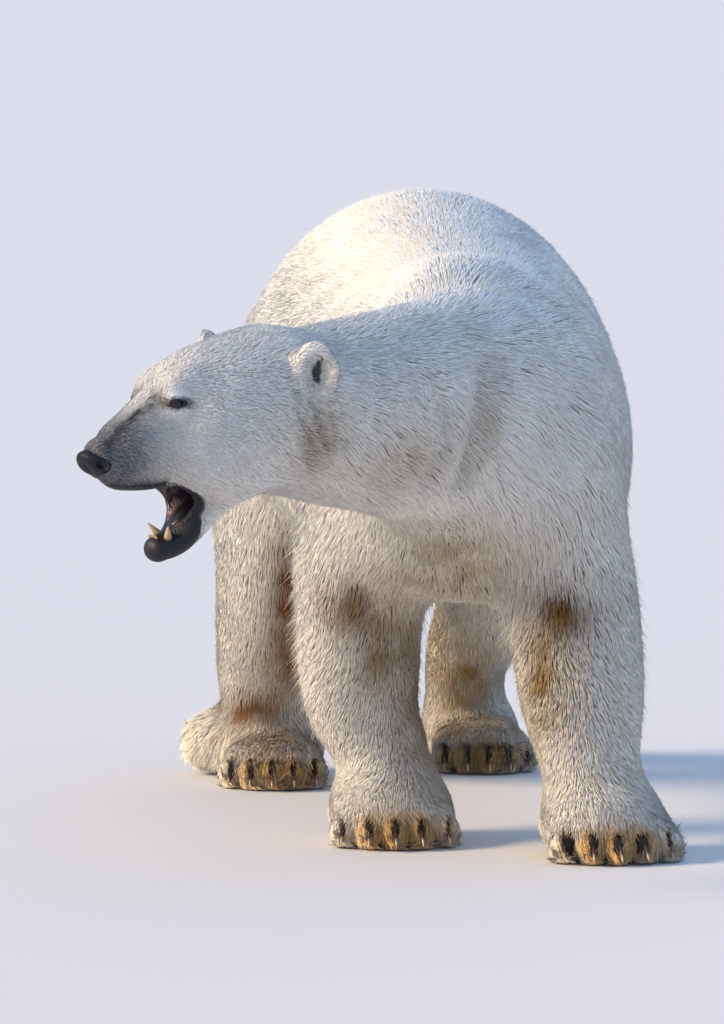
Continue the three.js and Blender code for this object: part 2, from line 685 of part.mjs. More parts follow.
function buildPaw(leg) {
  const [[x0, y0], [x1, y1]] = leg.room;
  let paw = solidOf(bodyField, [x0, y0, -CELL.paw * 2], [x1, y1, leg.ankle + 30], CELL.paw)
    .intersect(legBlock(leg, 0, leg.ankle - SEAM));
  for (let i = 0; i < TOES; i += 1) {
    const shape = clawOf(leg.foot, i);
    paw = paw.subtract(spike(shape, 2 * SEAM));
    finish(`claw_${leg.paw}_${i + 1}`, spike(shape), COLOUR.claw, { roughness: 0.45 });
  }
  finish(leg.paw, largest(paw), COLOUR.paw);
}

function buildHead() {
  const jawRoom = (grow) => block(...JAW_ROOM, { grow, frame: headFrame });
  const tongueSocket = headBall(TONGUE, mouthAxes, SEAM);
  const [low, high] = padded([[HEAD.seam, -160, -170], [10, 160, 150]], CELL.head);
  let head = solidOf(bodyField, low, high, CELL.head, headFrame)
    .intersect(headBlock(0))
    .subtract(jawRoom(SEAM))
    .subtract(headBall(NOSE_PAD, headAxes, SEAM))
    .subtract(tongueSocket);
  for (const [name, side] of Object.entries(SIDES)) {
    const eye = { ...EYE, at: [EYE.at[0], side * EYE.at[1], EYE.at[2]] };
    head = head.subtract(headBall(eye, bodyAxes, SEAM));
    head = head.subtract(block(...earRoom(side), { grow: SEAM, frame: headFrame }));
    finish(`eye_${name}`, headBall(eye, bodyAxes), COLOUR.eye, { roughness: 0.1 });
  }
  finish('head', largest(head), COLOUR.coat);
  finish('nose', headBall(NOSE_PAD, headAxes), COLOUR.nose, { roughness: 0.5 });
  finish('tongue', headBall(TONGUE, mouthAxes), COLOUR.tongue, { roughness: 0.5 });

  const [jawLow, jawHigh] = padded([[HEAD.jawHinge, -90, -205], [-60, 90, -90]], CELL.jaw);
  const jaw = solidOf(bodyField, jawLow, jawHigh, CELL.jaw, headFrame);
  let lowerJaw = largest(jaw.intersect(jawRoom(0)).subtract(tongueSocket));
  for (const canine of CANINES) lowerJaw = lowerJaw.add(spike(spikeOf(canine)));
  finish('lower_jaw', lowerJaw, COLOUR.jaw);
}

/** A lower canine rises from the front corner of the jaw and leans outwards. */
function spikeOf({ base, tip, droop, radius }) {
  const [root, point] = [onHead(...base), onHead(...tip)];
  return {
    base: root,
    ahead: point.clone().sub(root).normalize(),
    bend: headForward.clone().negate(),
    length: point.distanceTo(root), droop, radius, sides: 6, rings: 3,
  };
}

function buildEars() {
  for (const [name, side] of Object.entries(SIDES)) {
    const ear = earField(side);
    const field = (p) => ear(p, bodyField(p));
    const solid = solidOf(field, ...padded(earRoom(side), CELL.ear * 1.5), CELL.ear, headFrame)
      .intersect(block(...earRoom(side), { frame: headFrame }));
    finish(`ear_${name}`, largest(solid), COLOUR.ear);
  }
}

buildTrunk();
buildNeck();
buildTail();
buildHead();
buildEars();
buildLegs();

// The origin is under the middle of the bear, at the level of its soles.
const extent = new THREE.Box3().setFromObject(upright);
const middle = extent.getCenter(V());
upright.position.set(-middle.x, -middle.y, -extent.min.z);

export default bear;
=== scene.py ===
"""The looks of a standing polar bear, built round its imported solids.

The bear's outer form, out to the tips of its coat, is one smooth field, below zero inside: elliptic limbs
and muscles blended into each other, with the same sizes as the solids.  The skin is a deeper level of that
field, by the coat's depth, and the coat is made of tufts that grow from the skin and end at the outer form.
Shapes are worked out in metres in the bear's own frame: it faces -Y, its left side is +X, its soles are at 0.
"""
from __future__ import annotations

import logging
import math
from concurrent.futures import ThreadPoolExecutor
from dataclasses import dataclass
from enum import Enum
from typing import Callable, Iterable, Sequence

import bmesh
import bpy
import numpy as np
import openvdb
from mathutils import Matrix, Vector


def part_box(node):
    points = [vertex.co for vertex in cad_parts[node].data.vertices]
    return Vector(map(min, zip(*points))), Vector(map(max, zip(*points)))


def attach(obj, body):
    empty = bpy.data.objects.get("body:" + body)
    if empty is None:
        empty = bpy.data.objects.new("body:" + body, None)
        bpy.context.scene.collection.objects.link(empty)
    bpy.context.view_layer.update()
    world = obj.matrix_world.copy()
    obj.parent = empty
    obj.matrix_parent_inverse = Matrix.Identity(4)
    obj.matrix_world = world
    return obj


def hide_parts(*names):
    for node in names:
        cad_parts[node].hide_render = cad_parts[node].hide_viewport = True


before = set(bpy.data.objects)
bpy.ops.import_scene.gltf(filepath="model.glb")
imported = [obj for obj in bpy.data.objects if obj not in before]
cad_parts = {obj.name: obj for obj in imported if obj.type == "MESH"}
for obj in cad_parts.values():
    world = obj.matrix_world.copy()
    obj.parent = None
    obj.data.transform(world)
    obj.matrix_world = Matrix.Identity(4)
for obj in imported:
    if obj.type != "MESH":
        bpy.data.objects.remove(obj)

LOG = logging.getLogger("polar_bear")
MM = 0.001
FAR = 9.0                       # m, further than any two points of the bear
NEARBY = 0.15                   # m, how far off a limb's distance is still worked out in full
CORES = 4
BODY = "root"
Array = np.ndarray
Field = Callable[[Array], Array]


# ---------------------------------------------------------------------------------------------- arithmetic
def unit(vectors: Array) -> Array:
    """Each vector divided by its length."""
    vectors = np.asarray(vectors, float)
    return vectors / np.maximum(np.linalg.norm(vectors, axis=-1, keepdims=True), 1e-12)


def ease(low: float, high: float, values: Array) -> Array:
    """0 below low, 1 above high, and 3t² - 2t³ between them; high may be below low."""
    t = np.clip((values - low) / (high - low), 0.0, 1.0)
    return t * t * (3.0 - 2.0 * t)


def blend(a: Array, b: Array, width: float) -> Array:
    """The lesser of two distances, rounded over a width where they meet."""
    h = np.maximum(width - np.abs(a - b), 0.0) / width
    return np.minimum(a, b) - h * h * width * 0.25


def carve(a: Array, b: Array, width: float) -> Array:
    """The greater of two distances, rounded over a width where they meet."""
    return -blend(-a, -b, width)


def elliptic(offsets: Array, radii: Array) -> Array:
    """Nearly the distance to an ellipsoid: k0 (k0 - 1) / k1, where k0 = |q / r| and k1 = |q / r²|."""
    k0 = np.linalg.norm(offsets / radii, axis=-1)
    k1 = np.linalg.norm(offsets / (radii * radii), axis=-1)
    return k0 * (k0 - 1.0) / np.maximum(k1, 1e-9)


def hashed(cells: Array, seed: int) -> Array:
    """A fixed pseudo-random value from -1 to 1 for each whole-number cell."""
    h = cells.astype(np.int64)
    key = h[..., 0] * 73856093 ^ h[..., 1] * 19349663 ^ h[..., 2] * 83492791 ^ seed * 2654435761
    key = (key ^ (key >> 13)) * 1274126177 & 0xFFFFFFFF
    key = (key ^ (key >> 16)) * 2246822519 & 0xFFFFFFFF
    return ((key ^ (key >> 15)) & 0xFFFF) / 32767.5 - 1.0


def noise(points: Array, scale: float, seed: int) -> Array:
    """Value noise from -1 to 1: random values at the corners of cubes of this size, eased between them."""
    place = points / scale
    cell = np.floor(place)
    t = place - cell
    t = t * t * (3.0 - 2.0 * t)
    total = np.zeros(len(points))
    for corner in np.ndindex(2, 2, 2):
        weight = np.prod(np.where(np.array(corner) == 1, t, 1.0 - t), axis=1)
        total += weight * hashed(cell + corner, seed)
    return total


def in_blocks(function: Field, points: Array, size: int = 6144) -> Array:
    """A function of many points, worked out block by block on all cores."""
    starts = range(0, len(points), size)
    with ThreadPoolExecutor(CORES) as pool:
        return np.concatenate(list(pool.map(lambda i: function(points[i:i + size]), starts)))


def slope(function: Field, points: Array, step: float = 0.5 * MM) -> tuple[Array, Array]:
    """The value and the slope of a field at points, by forward differences."""
    value = in_blocks(function, points)
    steps = np.eye(3) * step
    return value, np.stack([(in_blocks(function, points + s) - value) / step for s in steps], axis=1)


def smooth_rows(rows: Array, steps: int) -> Array:
    """Rows on a Catmull-Rom curve through the given rows, `steps` for each gap."""
    padded = np.vstack([2 * rows[0] - rows[1], rows, 2 * rows[-1] - rows[-2]])
    t = (np.arange(steps) / steps)[:, None]
    pieces = [
        0.5 * (2 * b + (c - a) * t + (2 * a - 5 * b + 4 * c - d) * t**2 + (3 * b - a - 3 * c + d) * t**3)
        for a, b, c, d in zip(padded, padded[1:], padded[2:], padded[3:])
    ]
    return np.vstack([*pieces, rows[-1:]])


def bell(points: Array, middle: Sequence[float], radii: Sequence[float]) -> Array:
    """exp(-r²), where r is the distance of points from a middle against its radii, both in millimetres."""
    offset = (points / MM - np.array(middle)) / np.array(radii)
    return np.exp(-np.sum(offset**2, axis=1))


def linear(colour: str) -> Array:
    """An sRGB hex colour as linear red, green and blue."""
    value = np.array([int(colour[i:i + 2], 16) for i in (1, 3, 5)]) / 255.0
    return np.where(value <= 0.04045, value / 12.92, ((value + 0.055) / 1.055) ** 2.4)


def plain(colour: str, count: int) -> Array:
    """A hex colour, linear, for each of so many points."""
    return np.tile(linear(colour), (count, 1))


def mix(base: Array, other: Array, weight: Array) -> Array:
    """Rows drawn towards others by a weight for each point."""
    return base + (other - base) * np.asarray(weight)[:, None]


def tint(base: Array, colour: str, weight: Array) -> Array:
    """Linear colours drawn towards a hex one by a weight for each point."""
    return mix(base, linear(colour), weight)


# ---------------------------------------------------------------------------------------------- forms
class Ball:
    """An ellipsoid, given in millimetres: centre, radii and its axes as rows."""

    def __init__(self, centre: Sequence[float], radii: Sequence[float], axes: Array | None = None) -> None:
        """Keeps the ellipsoid in metres."""
        self.centre = np.asarray(centre, float) * MM
        self.radii = np.asarray(radii, float) * MM
        self.axes = np.eye(3) if axes is None else axes

    def distance(self, points: Array) -> Array:
        """Distances to the ellipsoid, below zero inside."""
        return elliptic((points - self.centre) @ self.axes.T, self.radii)


class Limb:
    """An elliptic section carried along a smooth line of stations.

    A station is x, y, z, half width, half height above and half height below, in millimetres.
    """

    def __init__(
        self,
        stations: Sequence[Sequence[float]],
        sideways: Array | Sequence[float] = (1, 0, 0),
        roundness: float = 0.8,
        steps: int = 6,
    ) -> None:
        """Works out the rows of the limb.

        Args:
            stations: the stations along the limb.
            sideways: which way the width lies, one direction or one for each station.
            roundness: how far the ends bulge, against the half width there.
            steps: how many rows each gap between stations gets.
        """
        stations = np.asarray(stations, float) * MM
        sides = np.broadcast_to(np.asarray(sideways, float), (len(stations), 3))
        rows = smooth_rows(np.hstack([stations, sides]), steps)
        self.points, self.sizes, self.roundness = rows[:, :3], rows[:, 3:6], roundness
        last = len(rows) - 1
        index = np.arange(last + 1)
        self.along = unit(self.points[np.minimum(index + 1, last)] - self.points[np.maximum(index - 1, 0)])
        width = rows[:, 6:9]
        self.across = unit(width - np.sum(width * self.along, 1, keepdims=True) * self.along)
        self.upright = np.cross(self.along, self.across)
        if self.upright[:, 2].sum() < 0:
            self.upright = -self.upright
        self.steps = np.diff(self.points, axis=0)
        self.squares = np.sum(self.steps**2, axis=1)
        self.low = self.points.min(0) - self.sizes.max()
        self.high = self.points.max(0) + self.sizes.max()

    def nearest(self, points: Array) -> tuple[Array, Array]:
        """The nearest place on the centre line: the row before it, and the part of the way to the next."""
        dot = (points @ self.steps.T - np.sum(self.points[:-1] * self.steps, axis=1))
        t = np.clip(dot / self.squares, 0.0, 1.0)
        square = np.sum(self.points[:-1] ** 2, axis=1) - 2.0 * points @ self.points[:-1].T
        square += t * (t * self.squares - 2.0 * dot)
        index = np.argmin(square, axis=1)
        return index, t[np.arange(len(points)), index]

    def section(self, points: Array) -> tuple[Array, Array, Array, Array, Array]:
        """Offsets across, up and past the end, the sizes there, and the place along the limb in rows."""
        index, part = self.nearest(points)

        def there(rows: Array) -> Array:
            """The rows' values at the nearest places."""
            return rows[index] + part[:, None] * (rows[index + 1] - rows[index])

        offset = points - there(self.points)
        along = there(self.along)
        high = np.sum(offset * there(self.upright), axis=1)
        wide = np.sum(offset * there(self.across), axis=1)
        place = index + part
        at_end = (place <= 0.0) | (place >= len(self.points) - 1)
        past = np.where(at_end, np.sum(offset * along, axis=1), 0.0)
        return wide, high, past, there(self.sizes), place

    def distance(self, points: Array) -> Array:
        """Distances to the limb, below zero inside; far off, the distance to its box does."""
        away = np.linalg.norm(np.maximum(np.maximum(self.low - points, points - self.high), 0.0), axis=1)
        near = away <= NEARBY
        if near.any():
            wide, high, past, size, _ = self.section(points[near])
            half = np.where(high > 0, size[:, 1], size[:, 2])
            tip = self.roundness * np.minimum(size[:, 0], (size[:, 1] + size[:, 2]) / 2)
            away[near] = elliptic(np.stack([wide, high, past], 1), np.stack([size[:, 0], half, tip], 1))
        return away

    def chart(self, points: Array) -> Array:
        """An unwrap of the limb's side: the angle round it and the place along it, both from 0 to 1."""
        wide, high, _, _, place = self.section(points)
        return np.stack([np.arctan2(wide, high) / (2 * math.pi) + 0.5, place / (len(self.points) - 1)], 1)

    def direction(self, points: Array) -> Array:
        """Which way the limb runs at the places nearest to the points."""
        return self.along[self.nearest(points)[0]]


@dataclass(frozen=True)
class HeadFrame:
    """The head's own axes: forward along the muzzle, to its left, and up, from the tip of the nose."""

    nose: tuple[float, float, float] = (-640, -1048, 653)   # mm
    turn: float = 58.0      # degrees from straight ahead to the bear's right
    stoop: float = 11.5     # degrees the nose points below level

    @property
    def axes(self) -> Array:
        """Forward, left and up as rows."""
        turn, stoop = math.radians(self.turn), math.radians(self.stoop)
        level = math.cos(stoop)
        ahead = np.array([-math.sin(turn) * level, -math.cos(turn) * level, -math.sin(stoop)])
        left = np.array([math.cos(turn), -math.sin(turn), 0.0])
        return np.stack([ahead, left, np.cross(ahead, left)])

    def place(self, forward: float, left: float, up: float) -> Array:
        """A point given along the head's axes in millimetres, as bear-frame millimetres."""
        return np.array(self.nose) + np.array([forward, left, up]) @ self.axes

    def coords(self, points: Array) -> Array:
        """Forward, left and up of points, in millimetres from the tip of the nose."""
        return (points / MM - np.array(self.nose)) @ self.axes.T


HEAD = HeadFrame()
AHEAD, LEFT, UP = HEAD.axes


@dataclass(frozen=True)
class Foot:
    """A foot on the ground, in millimetres: its middle, its turn in degrees, and its size."""

    middle: tuple[float, float]
    turn: float
    width: float
    length: float
    toes: int = 5
    CLAW_HEIGHT = 28                # mm, the middle of a claw's opening in the hair
    TOE_LINE = 0.46                 # how far ahead the toes' fronts lie, in parts of the length
    TOE_ARC = 30                    # mm that the outermost toes stand back from the middle one
    TOE_SPREAD = 0.80               # how far out the outermost toes stand, in parts of the width

    def place(self, ahead: float, left: float, height: float) -> list[float]:
        """A point so far ahead of the foot's middle and to the bear's left, at a height."""
        a = math.radians(self.turn)
        return [
            self.middle[0] + ahead * math.sin(a) + left * math.cos(a),
            self.middle[1] - ahead * math.cos(a) + left * math.sin(a),
            height,
        ]

    def coords(self, points: Array) -> Array:
        """Ahead, left and height of points, in millimetres from the foot's middle."""
        a = math.radians(self.turn)
        x, y = points[:, 0] / MM - self.middle[0], points[:, 1] / MM - self.middle[1]
        ahead = x * math.sin(a) - y * math.cos(a)
        return np.stack([ahead, x * math.cos(a) + y * math.sin(a), points[:, 2] / MM], 1)

    def spread(self, toe: int) -> float:
        """Where a toe stands across the foot, from -1 on the bear's right to 1 on its left."""
        return 2 * toe / (self.toes - 1) - 1

    def claw_gap(self, points: Array) -> Array:
        """1 in the dark openings that the claws leave in the hair, falling to 0 at their edges."""
        ahead, left, height = self.coords(points).T
        mask = np.zeros(len(points))
        for toe in range(self.toes):
            t = self.spread(toe)
            radius = np.hypot(
                (left - t * self.width * self.TOE_SPREAD) / 6.5, (height - self.CLAW_HEIGHT) / 18.0)
            front = self.length * self.TOE_LINE - self.TOE_ARC * t * t - 16
            mask = np.maximum(mask, ease(1.4, 0.8, radius) * (ahead > front))
        return mask

    def toe_tip(self, toe: int, height: float, past: float = 0.0) -> list[float]:
        """The front of a toe, at a height."""
        t = self.spread(toe)
        ahead = self.length * self.TOE_LINE - self.TOE_ARC * t * t + past
        return self.place(ahead, t * self.width * self.TOE_SPREAD, height)

    def forms(self) -> list[Limb]:
        """The sole's pad and the toes."""
        half = self.length / 2
        sole = Limb([
            [*self.place(-half * 0.8, 0, 45), self.width * 0.80, 50, 60],
            [*self.place(0, 0, 42), self.width * 0.92, 46, 60],
            [*self.place(half * 0.45, 0, 38), self.width * 0.90, 38, 54],
        ])
        toes = []
        for toe in range(self.toes):
            t = self.spread(toe)
            knuckle = self.place(half * 0.30 - 12 * t * t, t * self.width * 0.66, 40)
            stations = [[*knuckle, 23.5, 26, 52], [*self.toe_tip(toe, 26), 23.5, 24, 38]]
            toes.append(Limb(stations, roundness=1, steps=1))
        return [sole, *toes]


@dataclass(frozen=True)
class Leg:
    """A leg: which it is, its stations and its foot."""

    name: str
    stations: tuple[tuple[float, ...], ...]
    foot: Foot


LEGS = (
    Leg("foreleg_left", (
        (110, -360, 600, 105, 150, 150), (135, -370, 470, 105, 125, 125), (152, -400, 340, 103, 98, 98),
        (159, -440, 230, 96, 80, 85), (168, -475, 135, 78, 68, 70), (180, -500, 70, 81, 75, 75),
    ), Foot((188, -525), 4, 98, 190)),
    Leg("foreleg_right", (
        (-120, -300, 600, 105, 150, 150), (-160, -270, 470, 110, 125, 125), (-167, -250, 340, 100, 98, 98),
        (-163, -250, 220, 91, 82, 85), (-135, -265, 140, 74, 68, 70), (-125, -285, 70, 80, 75, 75),
    ), Foot((-120, -318), -3, 98, 190)),
    Leg("hindleg_left", (
        (150, 480, 600, 150, 200, 200), (190, 500, 470, 135, 165, 165), (165, 580, 340, 105, 120, 120),
        (105, 700, 210, 75, 85, 85), (98, 760, 120, 66, 70, 70), (105, 770, 60, 66, 70, 70),
    ), Foot((112.5, 677.5), 2, 84, 250)),
    Leg("hindleg_right", (
        (-150, 440, 600, 150, 200, 200), (-205, 420, 470, 135, 165, 165), (-230, 450, 340, 113, 120, 120),
        (-249, 520, 210, 89, 85, 85), (-245, 560, 120, 78, 70, 70), (-240, 575, 60, 70, 70, 70),
    ), Foot((-242.5, 485), -6, 84, 250)),
)
SIDES = {"left": 1, "right": -1}


@dataclass(frozen=True)
class Crease:
    """A fold in the hide: a line of points in bear-frame millimetres, its depth, half width and the strength
    of its painted shade.
    """

    points: tuple[tuple[float, float, float], ...]
    depth: float
    width: float
    painted_shade: float = 0.6

    def share(self, points: Array) -> Array:
        """How far in the fold points lie, from 0 to 1: a bell of the distance to its line."""
        line = np.array(self.points) * MM
        best = np.full(len(points), FAR)
        for a, b in zip(line, line[1:]):
            step = b - a
            t = np.clip((points - a) @ step / (step @ step), 0.0, 1.0)
            best = np.minimum(best, np.linalg.norm(points - a - t[:, None] * step, axis=1))
        return np.exp(-((best / (self.width * MM)) ** 2))


class BearForm:
    """The whole bear as fields: the outer form, the coat's surface with its folds, and the skin."""

    # How widely each part flows into the rest, in millimetres.
    FLOW = {
        "neck": 100, "leg": 70, "muscle": 60, "toes": 13, "foot": 62, "skull": 50, "jaw": 20, "cheek": 50,
        "brow": 20, "mouth": 12, "fringe": 45, "ear": 14, "ear_cup": 6, "tail": 30,
    }
    EYE = (-150, 44, 50)            # mm on the head, the left eye's middle
    EYE_RADIUS = 12.0
    EYE_ROUND = (12.8, 6.2)         # mm, half width and half height at the lids' outer edge
    EYE_LEAN = 11                   # degrees that the eye's long axis rises towards the nose
    EARS = {1: (-351, 124, 56), -1: (-338, -122, 64)}       # their middles on the head
    EAR_REACH = 0.12                # m, further than an ear's own size
    FEET_TOP = 0.25                 # m, above anything of the feet
    HEAD_BACK = -520                # mm, behind anything of the head
    # The upper lip's edge: forward on the head against up.
    LIP_LINE = ((-109, -80, -53, -37, -15), (-65, -58, -56, -49, -42))
    # The black of the mouth's corner and the chin: down from the nose against how far back it begins.
    CHIN_LINE = ((60, 66, 85, 115, 130, 151, 165, 178), (-118, -130, -150, -164, -165, -160, -152, -134))
    # The coat's depth in millimetres: against the height in metres, and against forward on the head.
    BODY_DEPTH = ((0, 0.05, 0.12, 0.25, 0.45), (5, 6, 9, 12, 16))
    HEAD_DEPTH = ((-360, -250, -150, -80, 0), (10, 6, 3.6, 2.2, 1.4))
    EAR_DEPTH, LEAST_DEPTH = 3.0, 0.7
    CREASES = (
        Crease(((-9, -687, 785), (-17, -728, 743), (-23, -743, 700), (-30, -744, 655), (-44, -734, 610)),
               24, 24, 0.5),
        Crease(((-97, -821, 721), (-80, -797, 660), (-109, -785, 600)), 9, 20, 0.3),
        Crease(((-198, -875, 784), (-189, -893, 748), (-189, -899, 705), (-196, -896, 668)), 11, 11, 0.4),
        Crease(((-337, -988, 773), (-331, -994, 759), (-316, -994, 748)), 8, 7),
        Crease(((-320, -995, 748), (-318, -997, 727), (-314, -996, 705), (-300, -985, 679),
                (-291, -974, 661), (-292, -960, 638)), 14, 8, 0.9),
        Crease(((-303, -993, 737), (-290, -988, 709), (-278, -972, 678), (-268, -953, 659)), 13, 8, 0.9),
        Crease(((-320, -993, 680), (-301, -973, 648), (-293, -947, 625)), 10, 8, 0.8),
        Crease(((-269, -973, 708), (-257, -952, 676), (-242, -930, 661)), 11, 9, 0.8),
        Crease(((85, -480, 335), (97, -481, 365), (119, -489, 388), (141, -492, 394)), 18, 13, 0.8),
        Crease(((-80, -640, 510), (-53, -600, 486), (-27, -563, 460), (-3, -478, 406)), 18, 18, 0.6),
        Crease(((-199, -368, 397), (-175, -366, 388), (-140, -350, 335)), 10, 14),
    )

    def __init__(self) -> None:
        """Builds every limb and muscle."""
        self.flow = {name: width * MM for name, width in self.FLOW.items()}
        head = HEAD.place
        self.trunk = Limb([
            [-14, -480, 622, 150, 208, 162], [-30, -400, 620, 195, 280, 235], [-15, -250, 610, 240, 285, 230],
            [-3, 0, 600, 287, 305, 225], [-5, 250, 590, 315, 360, 205], [-2, 450, 585, 320, 392, 190],
            [-2, 590, 585, 283, 343, 170],
        ], roundness=0.72)
        turns = [(1, 0, 0), (0.9, -0.3, 0), (0.72, -0.6, 0), (0.6, -0.78, 0), LEFT]
        self.neck = Limb([
            [-10, -360, 670, 190, 205, 230], [-60, -520, 690, 165, 172, 200],
            [-160, -680, 705, 145, 145, 170], [-270, -795, 715, 132, 120, 150],
            [*head(-340, 0, 0), 126, 98, 128],
        ], sideways=turns, roundness=0.7)
        self.tail = Limb(
            [[3, 750, 700, 50, 35, 35], [3, 800, 630, 40, 28, 28], [3, 815, 560, 22, 18, 18]], roundness=1)
        self.muscles = [
            Ball((194, 500, 540), (138, 190, 220)), Ball((-200, 460, 540), (138, 190, 220)),
            Ball((120, -360, 640), (95, 130, 190)), Ball((-140, -320, 640), (95, 130, 190)),
        ]
        self.skull = self.bone((
            (-335, 8, 122, 104, 120), (-270, 14, 110, 103, 100), (-205, 18, 84, 92, 78),
            (-150, 10, 57, 66, 66), (-100, 0, 50, 52, 72), (-60, -7, 42, 43, 54), (-34, -5, 30, 30, 31),
        ), 0.75)
        self.jaw = self.bone((
            (-275, -72, 62, 30, 22), (-235, -90, 54, 30, 16), (-185, -122, 45, 28, 28),
            (-140, -153, 35, 18, 22), (-106, -161, 23, 20, 18),
        ), 0.9)
        mouth_axis = unit(0.9 * AHEAD - 0.44 * UP)
        mouth_roof = unit(UP - (UP @ mouth_axis) * mouth_axis)
        self.mouth_axes = np.stack([mouth_axis, LEFT, mouth_roof])
        self.mouth = Ball(head(-146, 0, -99), (56, 33, 24), self.mouth_axes)
        self.cheeks = [Ball(head(-235, s * 50, -42), (100, 46, 66), HEAD.axes) for s in (1, -1)]
        self.brows = [Ball(head(-178, s * 36, 62), (38, 20, 30), HEAD.axes) for s in (1, -1)]
        self.legs = [Limb(leg.stations, roundness=0.9) for leg in LEGS]
        self.feet = [form for leg in LEGS for form in leg.foot.forms()]
        self.fringes = [Ball((-312, 598, 60), (72, 56, 56)), Ball((262, -505, 18), (36, 75, 20))]
        self.ears = [self.ear(side) for side in (1, -1)]
        self.nose_pad = Ball(head(-23, 0, -5), (28, 28, 20), HEAD.axes)

    @staticmethod
    def bone(stations: Iterable[Sequence[float]], roundness: float) -> Limb:
        """A limb along the head's middle plane: forward, up and the three sizes at each station."""
        rows = [[*HEAD.place(forward, 0, up), *sizes] for forward, up, *sizes in stations]
        return Limb(rows, sideways=LEFT, roundness=roundness)

    @staticmethod
    def ear(side: int) -> tuple[Ball, Ball]:
        """An ear's shell and the cup carved in it."""
        out = unit(0.62 * AHEAD + side * 0.78 * LEFT)
        axes = np.stack([out, unit(np.cross(UP, out)), UP])
        middle = HEAD.place(*BearForm.EARS[side])
        return Ball(middle, (15, 36, 42), axes), Ball(middle + 20 * out - 4 * UP, (20, 22, 30), axes)

    def body(self, points: Array) -> Array:
        """The body without ears and tail."""
        flow = self.flow
        d = blend(self.trunk.distance(points), self.neck.distance(points), flow["neck"])
        for leg in self.legs:
            d = blend(d, leg.distance(points), flow["leg"])
        for muscle in self.muscles:
            d = blend(d, muscle.distance(points), flow["muscle"])
        low = points[:, 2] < self.FEET_TOP
        if low.any():
            feet = np.full(int(low.sum()), FAR)
            for form in self.feet:
                feet = blend(feet, form.distance(points[low]), flow["toes"])
            d[low] = blend(d[low], feet, flow["foot"])
        near = HEAD.coords(points)[:, 0] > self.HEAD_BACK
        if near.any():
            d[near] = self.head(points[near], d[near])
        for fringe in self.fringes:
            d = blend(d, fringe.distance(points), flow["fringe"])
        return d

    def head(self, points: Array, d: Array) -> Array:
        """Adds the skull, jaw, cheeks and brows to a distance, and carves the mouth."""
        parts = {"skull": [self.skull], "jaw": [self.jaw], "cheek": self.cheeks, "brow": self.brows}
        for name, forms in parts.items():
            for form in forms:
                d = blend(d, form.distance(points), self.flow[name])
        return carve(d, -self.mouth.distance(points), self.flow["mouth"])

    def outer(self, points: Array) -> Array:
        """The outer form, out to the tips of the coat."""
        d = self.body(points)
        for shell, cup in self.ears:
            near = np.linalg.norm(points - shell.centre, axis=1) < self.EAR_REACH
            if near.any():
                eared = blend(d[near], shell.distance(points[near]), self.flow["ear"])
                d[near] = carve(eared, -cup.distance(points[near]), self.flow["ear_cup"])
        return blend(d, self.tail.distance(points), self.flow["tail"])

    def coat(self, points: Array) -> Array:
        """The coat's surface: the outer form, drawn in at the folds, and flat on the ground."""
        d = self.outer(points)
        for crease in self.CREASES:
            d = d + crease.depth * MM * crease.share(points)
        d = blend(d, self.eye_distance(points) - (self.EYE_RADIUS + 1.2) * MM, 7 * MM)
        return np.maximum(d, 0.001 - points[:, 2])

    def eye_distance(self, points: Array) -> Array:
        """Distance from the middle of the nearer eye."""
        forward, left, up = HEAD.coords(points).T
        return np.linalg.norm(np.stack([forward, np.abs(left), up], 1) - np.array(self.EYE), axis=1) * MM

    def mouth_mask(self, points: Array) -> Array:
        """1 on the bare lining of the mouth."""
        return ease(7 * MM, 3 * MM, self.mouth.distance(points))

    def bare(self, points: Array) -> Array:
        """1 where no hair grows: the mouth, the lips and chin, the nose pad, the eyes and the soles."""
        forward, _, up = HEAD.coords(points).T
        mouth, pad = self.mouth.distance(points) / MM, self.nose_pad.distance(points) / MM
        chin = forward - np.interp(-up, *self.CHIN_LINE)
        face = np.max([
            self.mouth_mask(points),
            ease(7, 3, self.over_lip(forward, up)) * (forward > -118),
            ease(-3, 2, chin) * (up < -58) * (up > -200),
            ease(23, 18, mouth) * (up < -58) * (forward > -172),
            ease(3, 0.5, pad) * (self.hairline(points) < 1),
        ], axis=0)
        return np.max([
            np.where(np.abs(forward + 150) < 190, face, 0.0),
            ease(1.15, 0.95, self.eye_radius(points)),
            self.ear_slit(points),
            ease(4 * MM, 2 * MM, points[:, 2]),
        ], axis=0)

    def over_lip(self, forward: Array, up: Array) -> Array:
        """Height over the edge of the upper lip, in millimetres, at places on the head."""
        return up - np.interp(forward, *self.LIP_LINE)

    @staticmethod
    def hairline(points: Array) -> Array:
        """Height over the edge of the nose leather, in millimetres: the edge drops backwards and sideways."""
        forward, left, up = HEAD.coords(points).T
        return up - 16 + 0.35 * np.abs(left) - 0.6 * (forward + 10)

    def claw_gap(self, points: Array) -> Array:
        """1 at the claws, where no hair grows, falling to 0 at the edges of their openings."""
        mask = np.zeros(len(points))
        low = points[:, 2] < 0.08
        if low.any():
            mask[low] = np.max([leg.foot.claw_gap(points[low]) for leg in LEGS], axis=0)
        return mask

    def ear_slit(self, points: Array) -> Array:
        """1 in the dark slit that leads into each ear."""
        mask = np.zeros(len(points))
        for shell, _ in self.ears:
            out, across, up = ((points - shell.centre) @ shell.axes.T / MM).T
            lean = across - 0.35 * up - 0.012 * up * up
            radius = np.hypot(lean / 7.5, (up + 3) / 23.0) + 0.35 * noise(points, 0.006, 51)
            slit = ease(1.15, 0.75, radius) * (out > -6) * (out < 16)
            mask = np.maximum(mask, slit)
        return mask

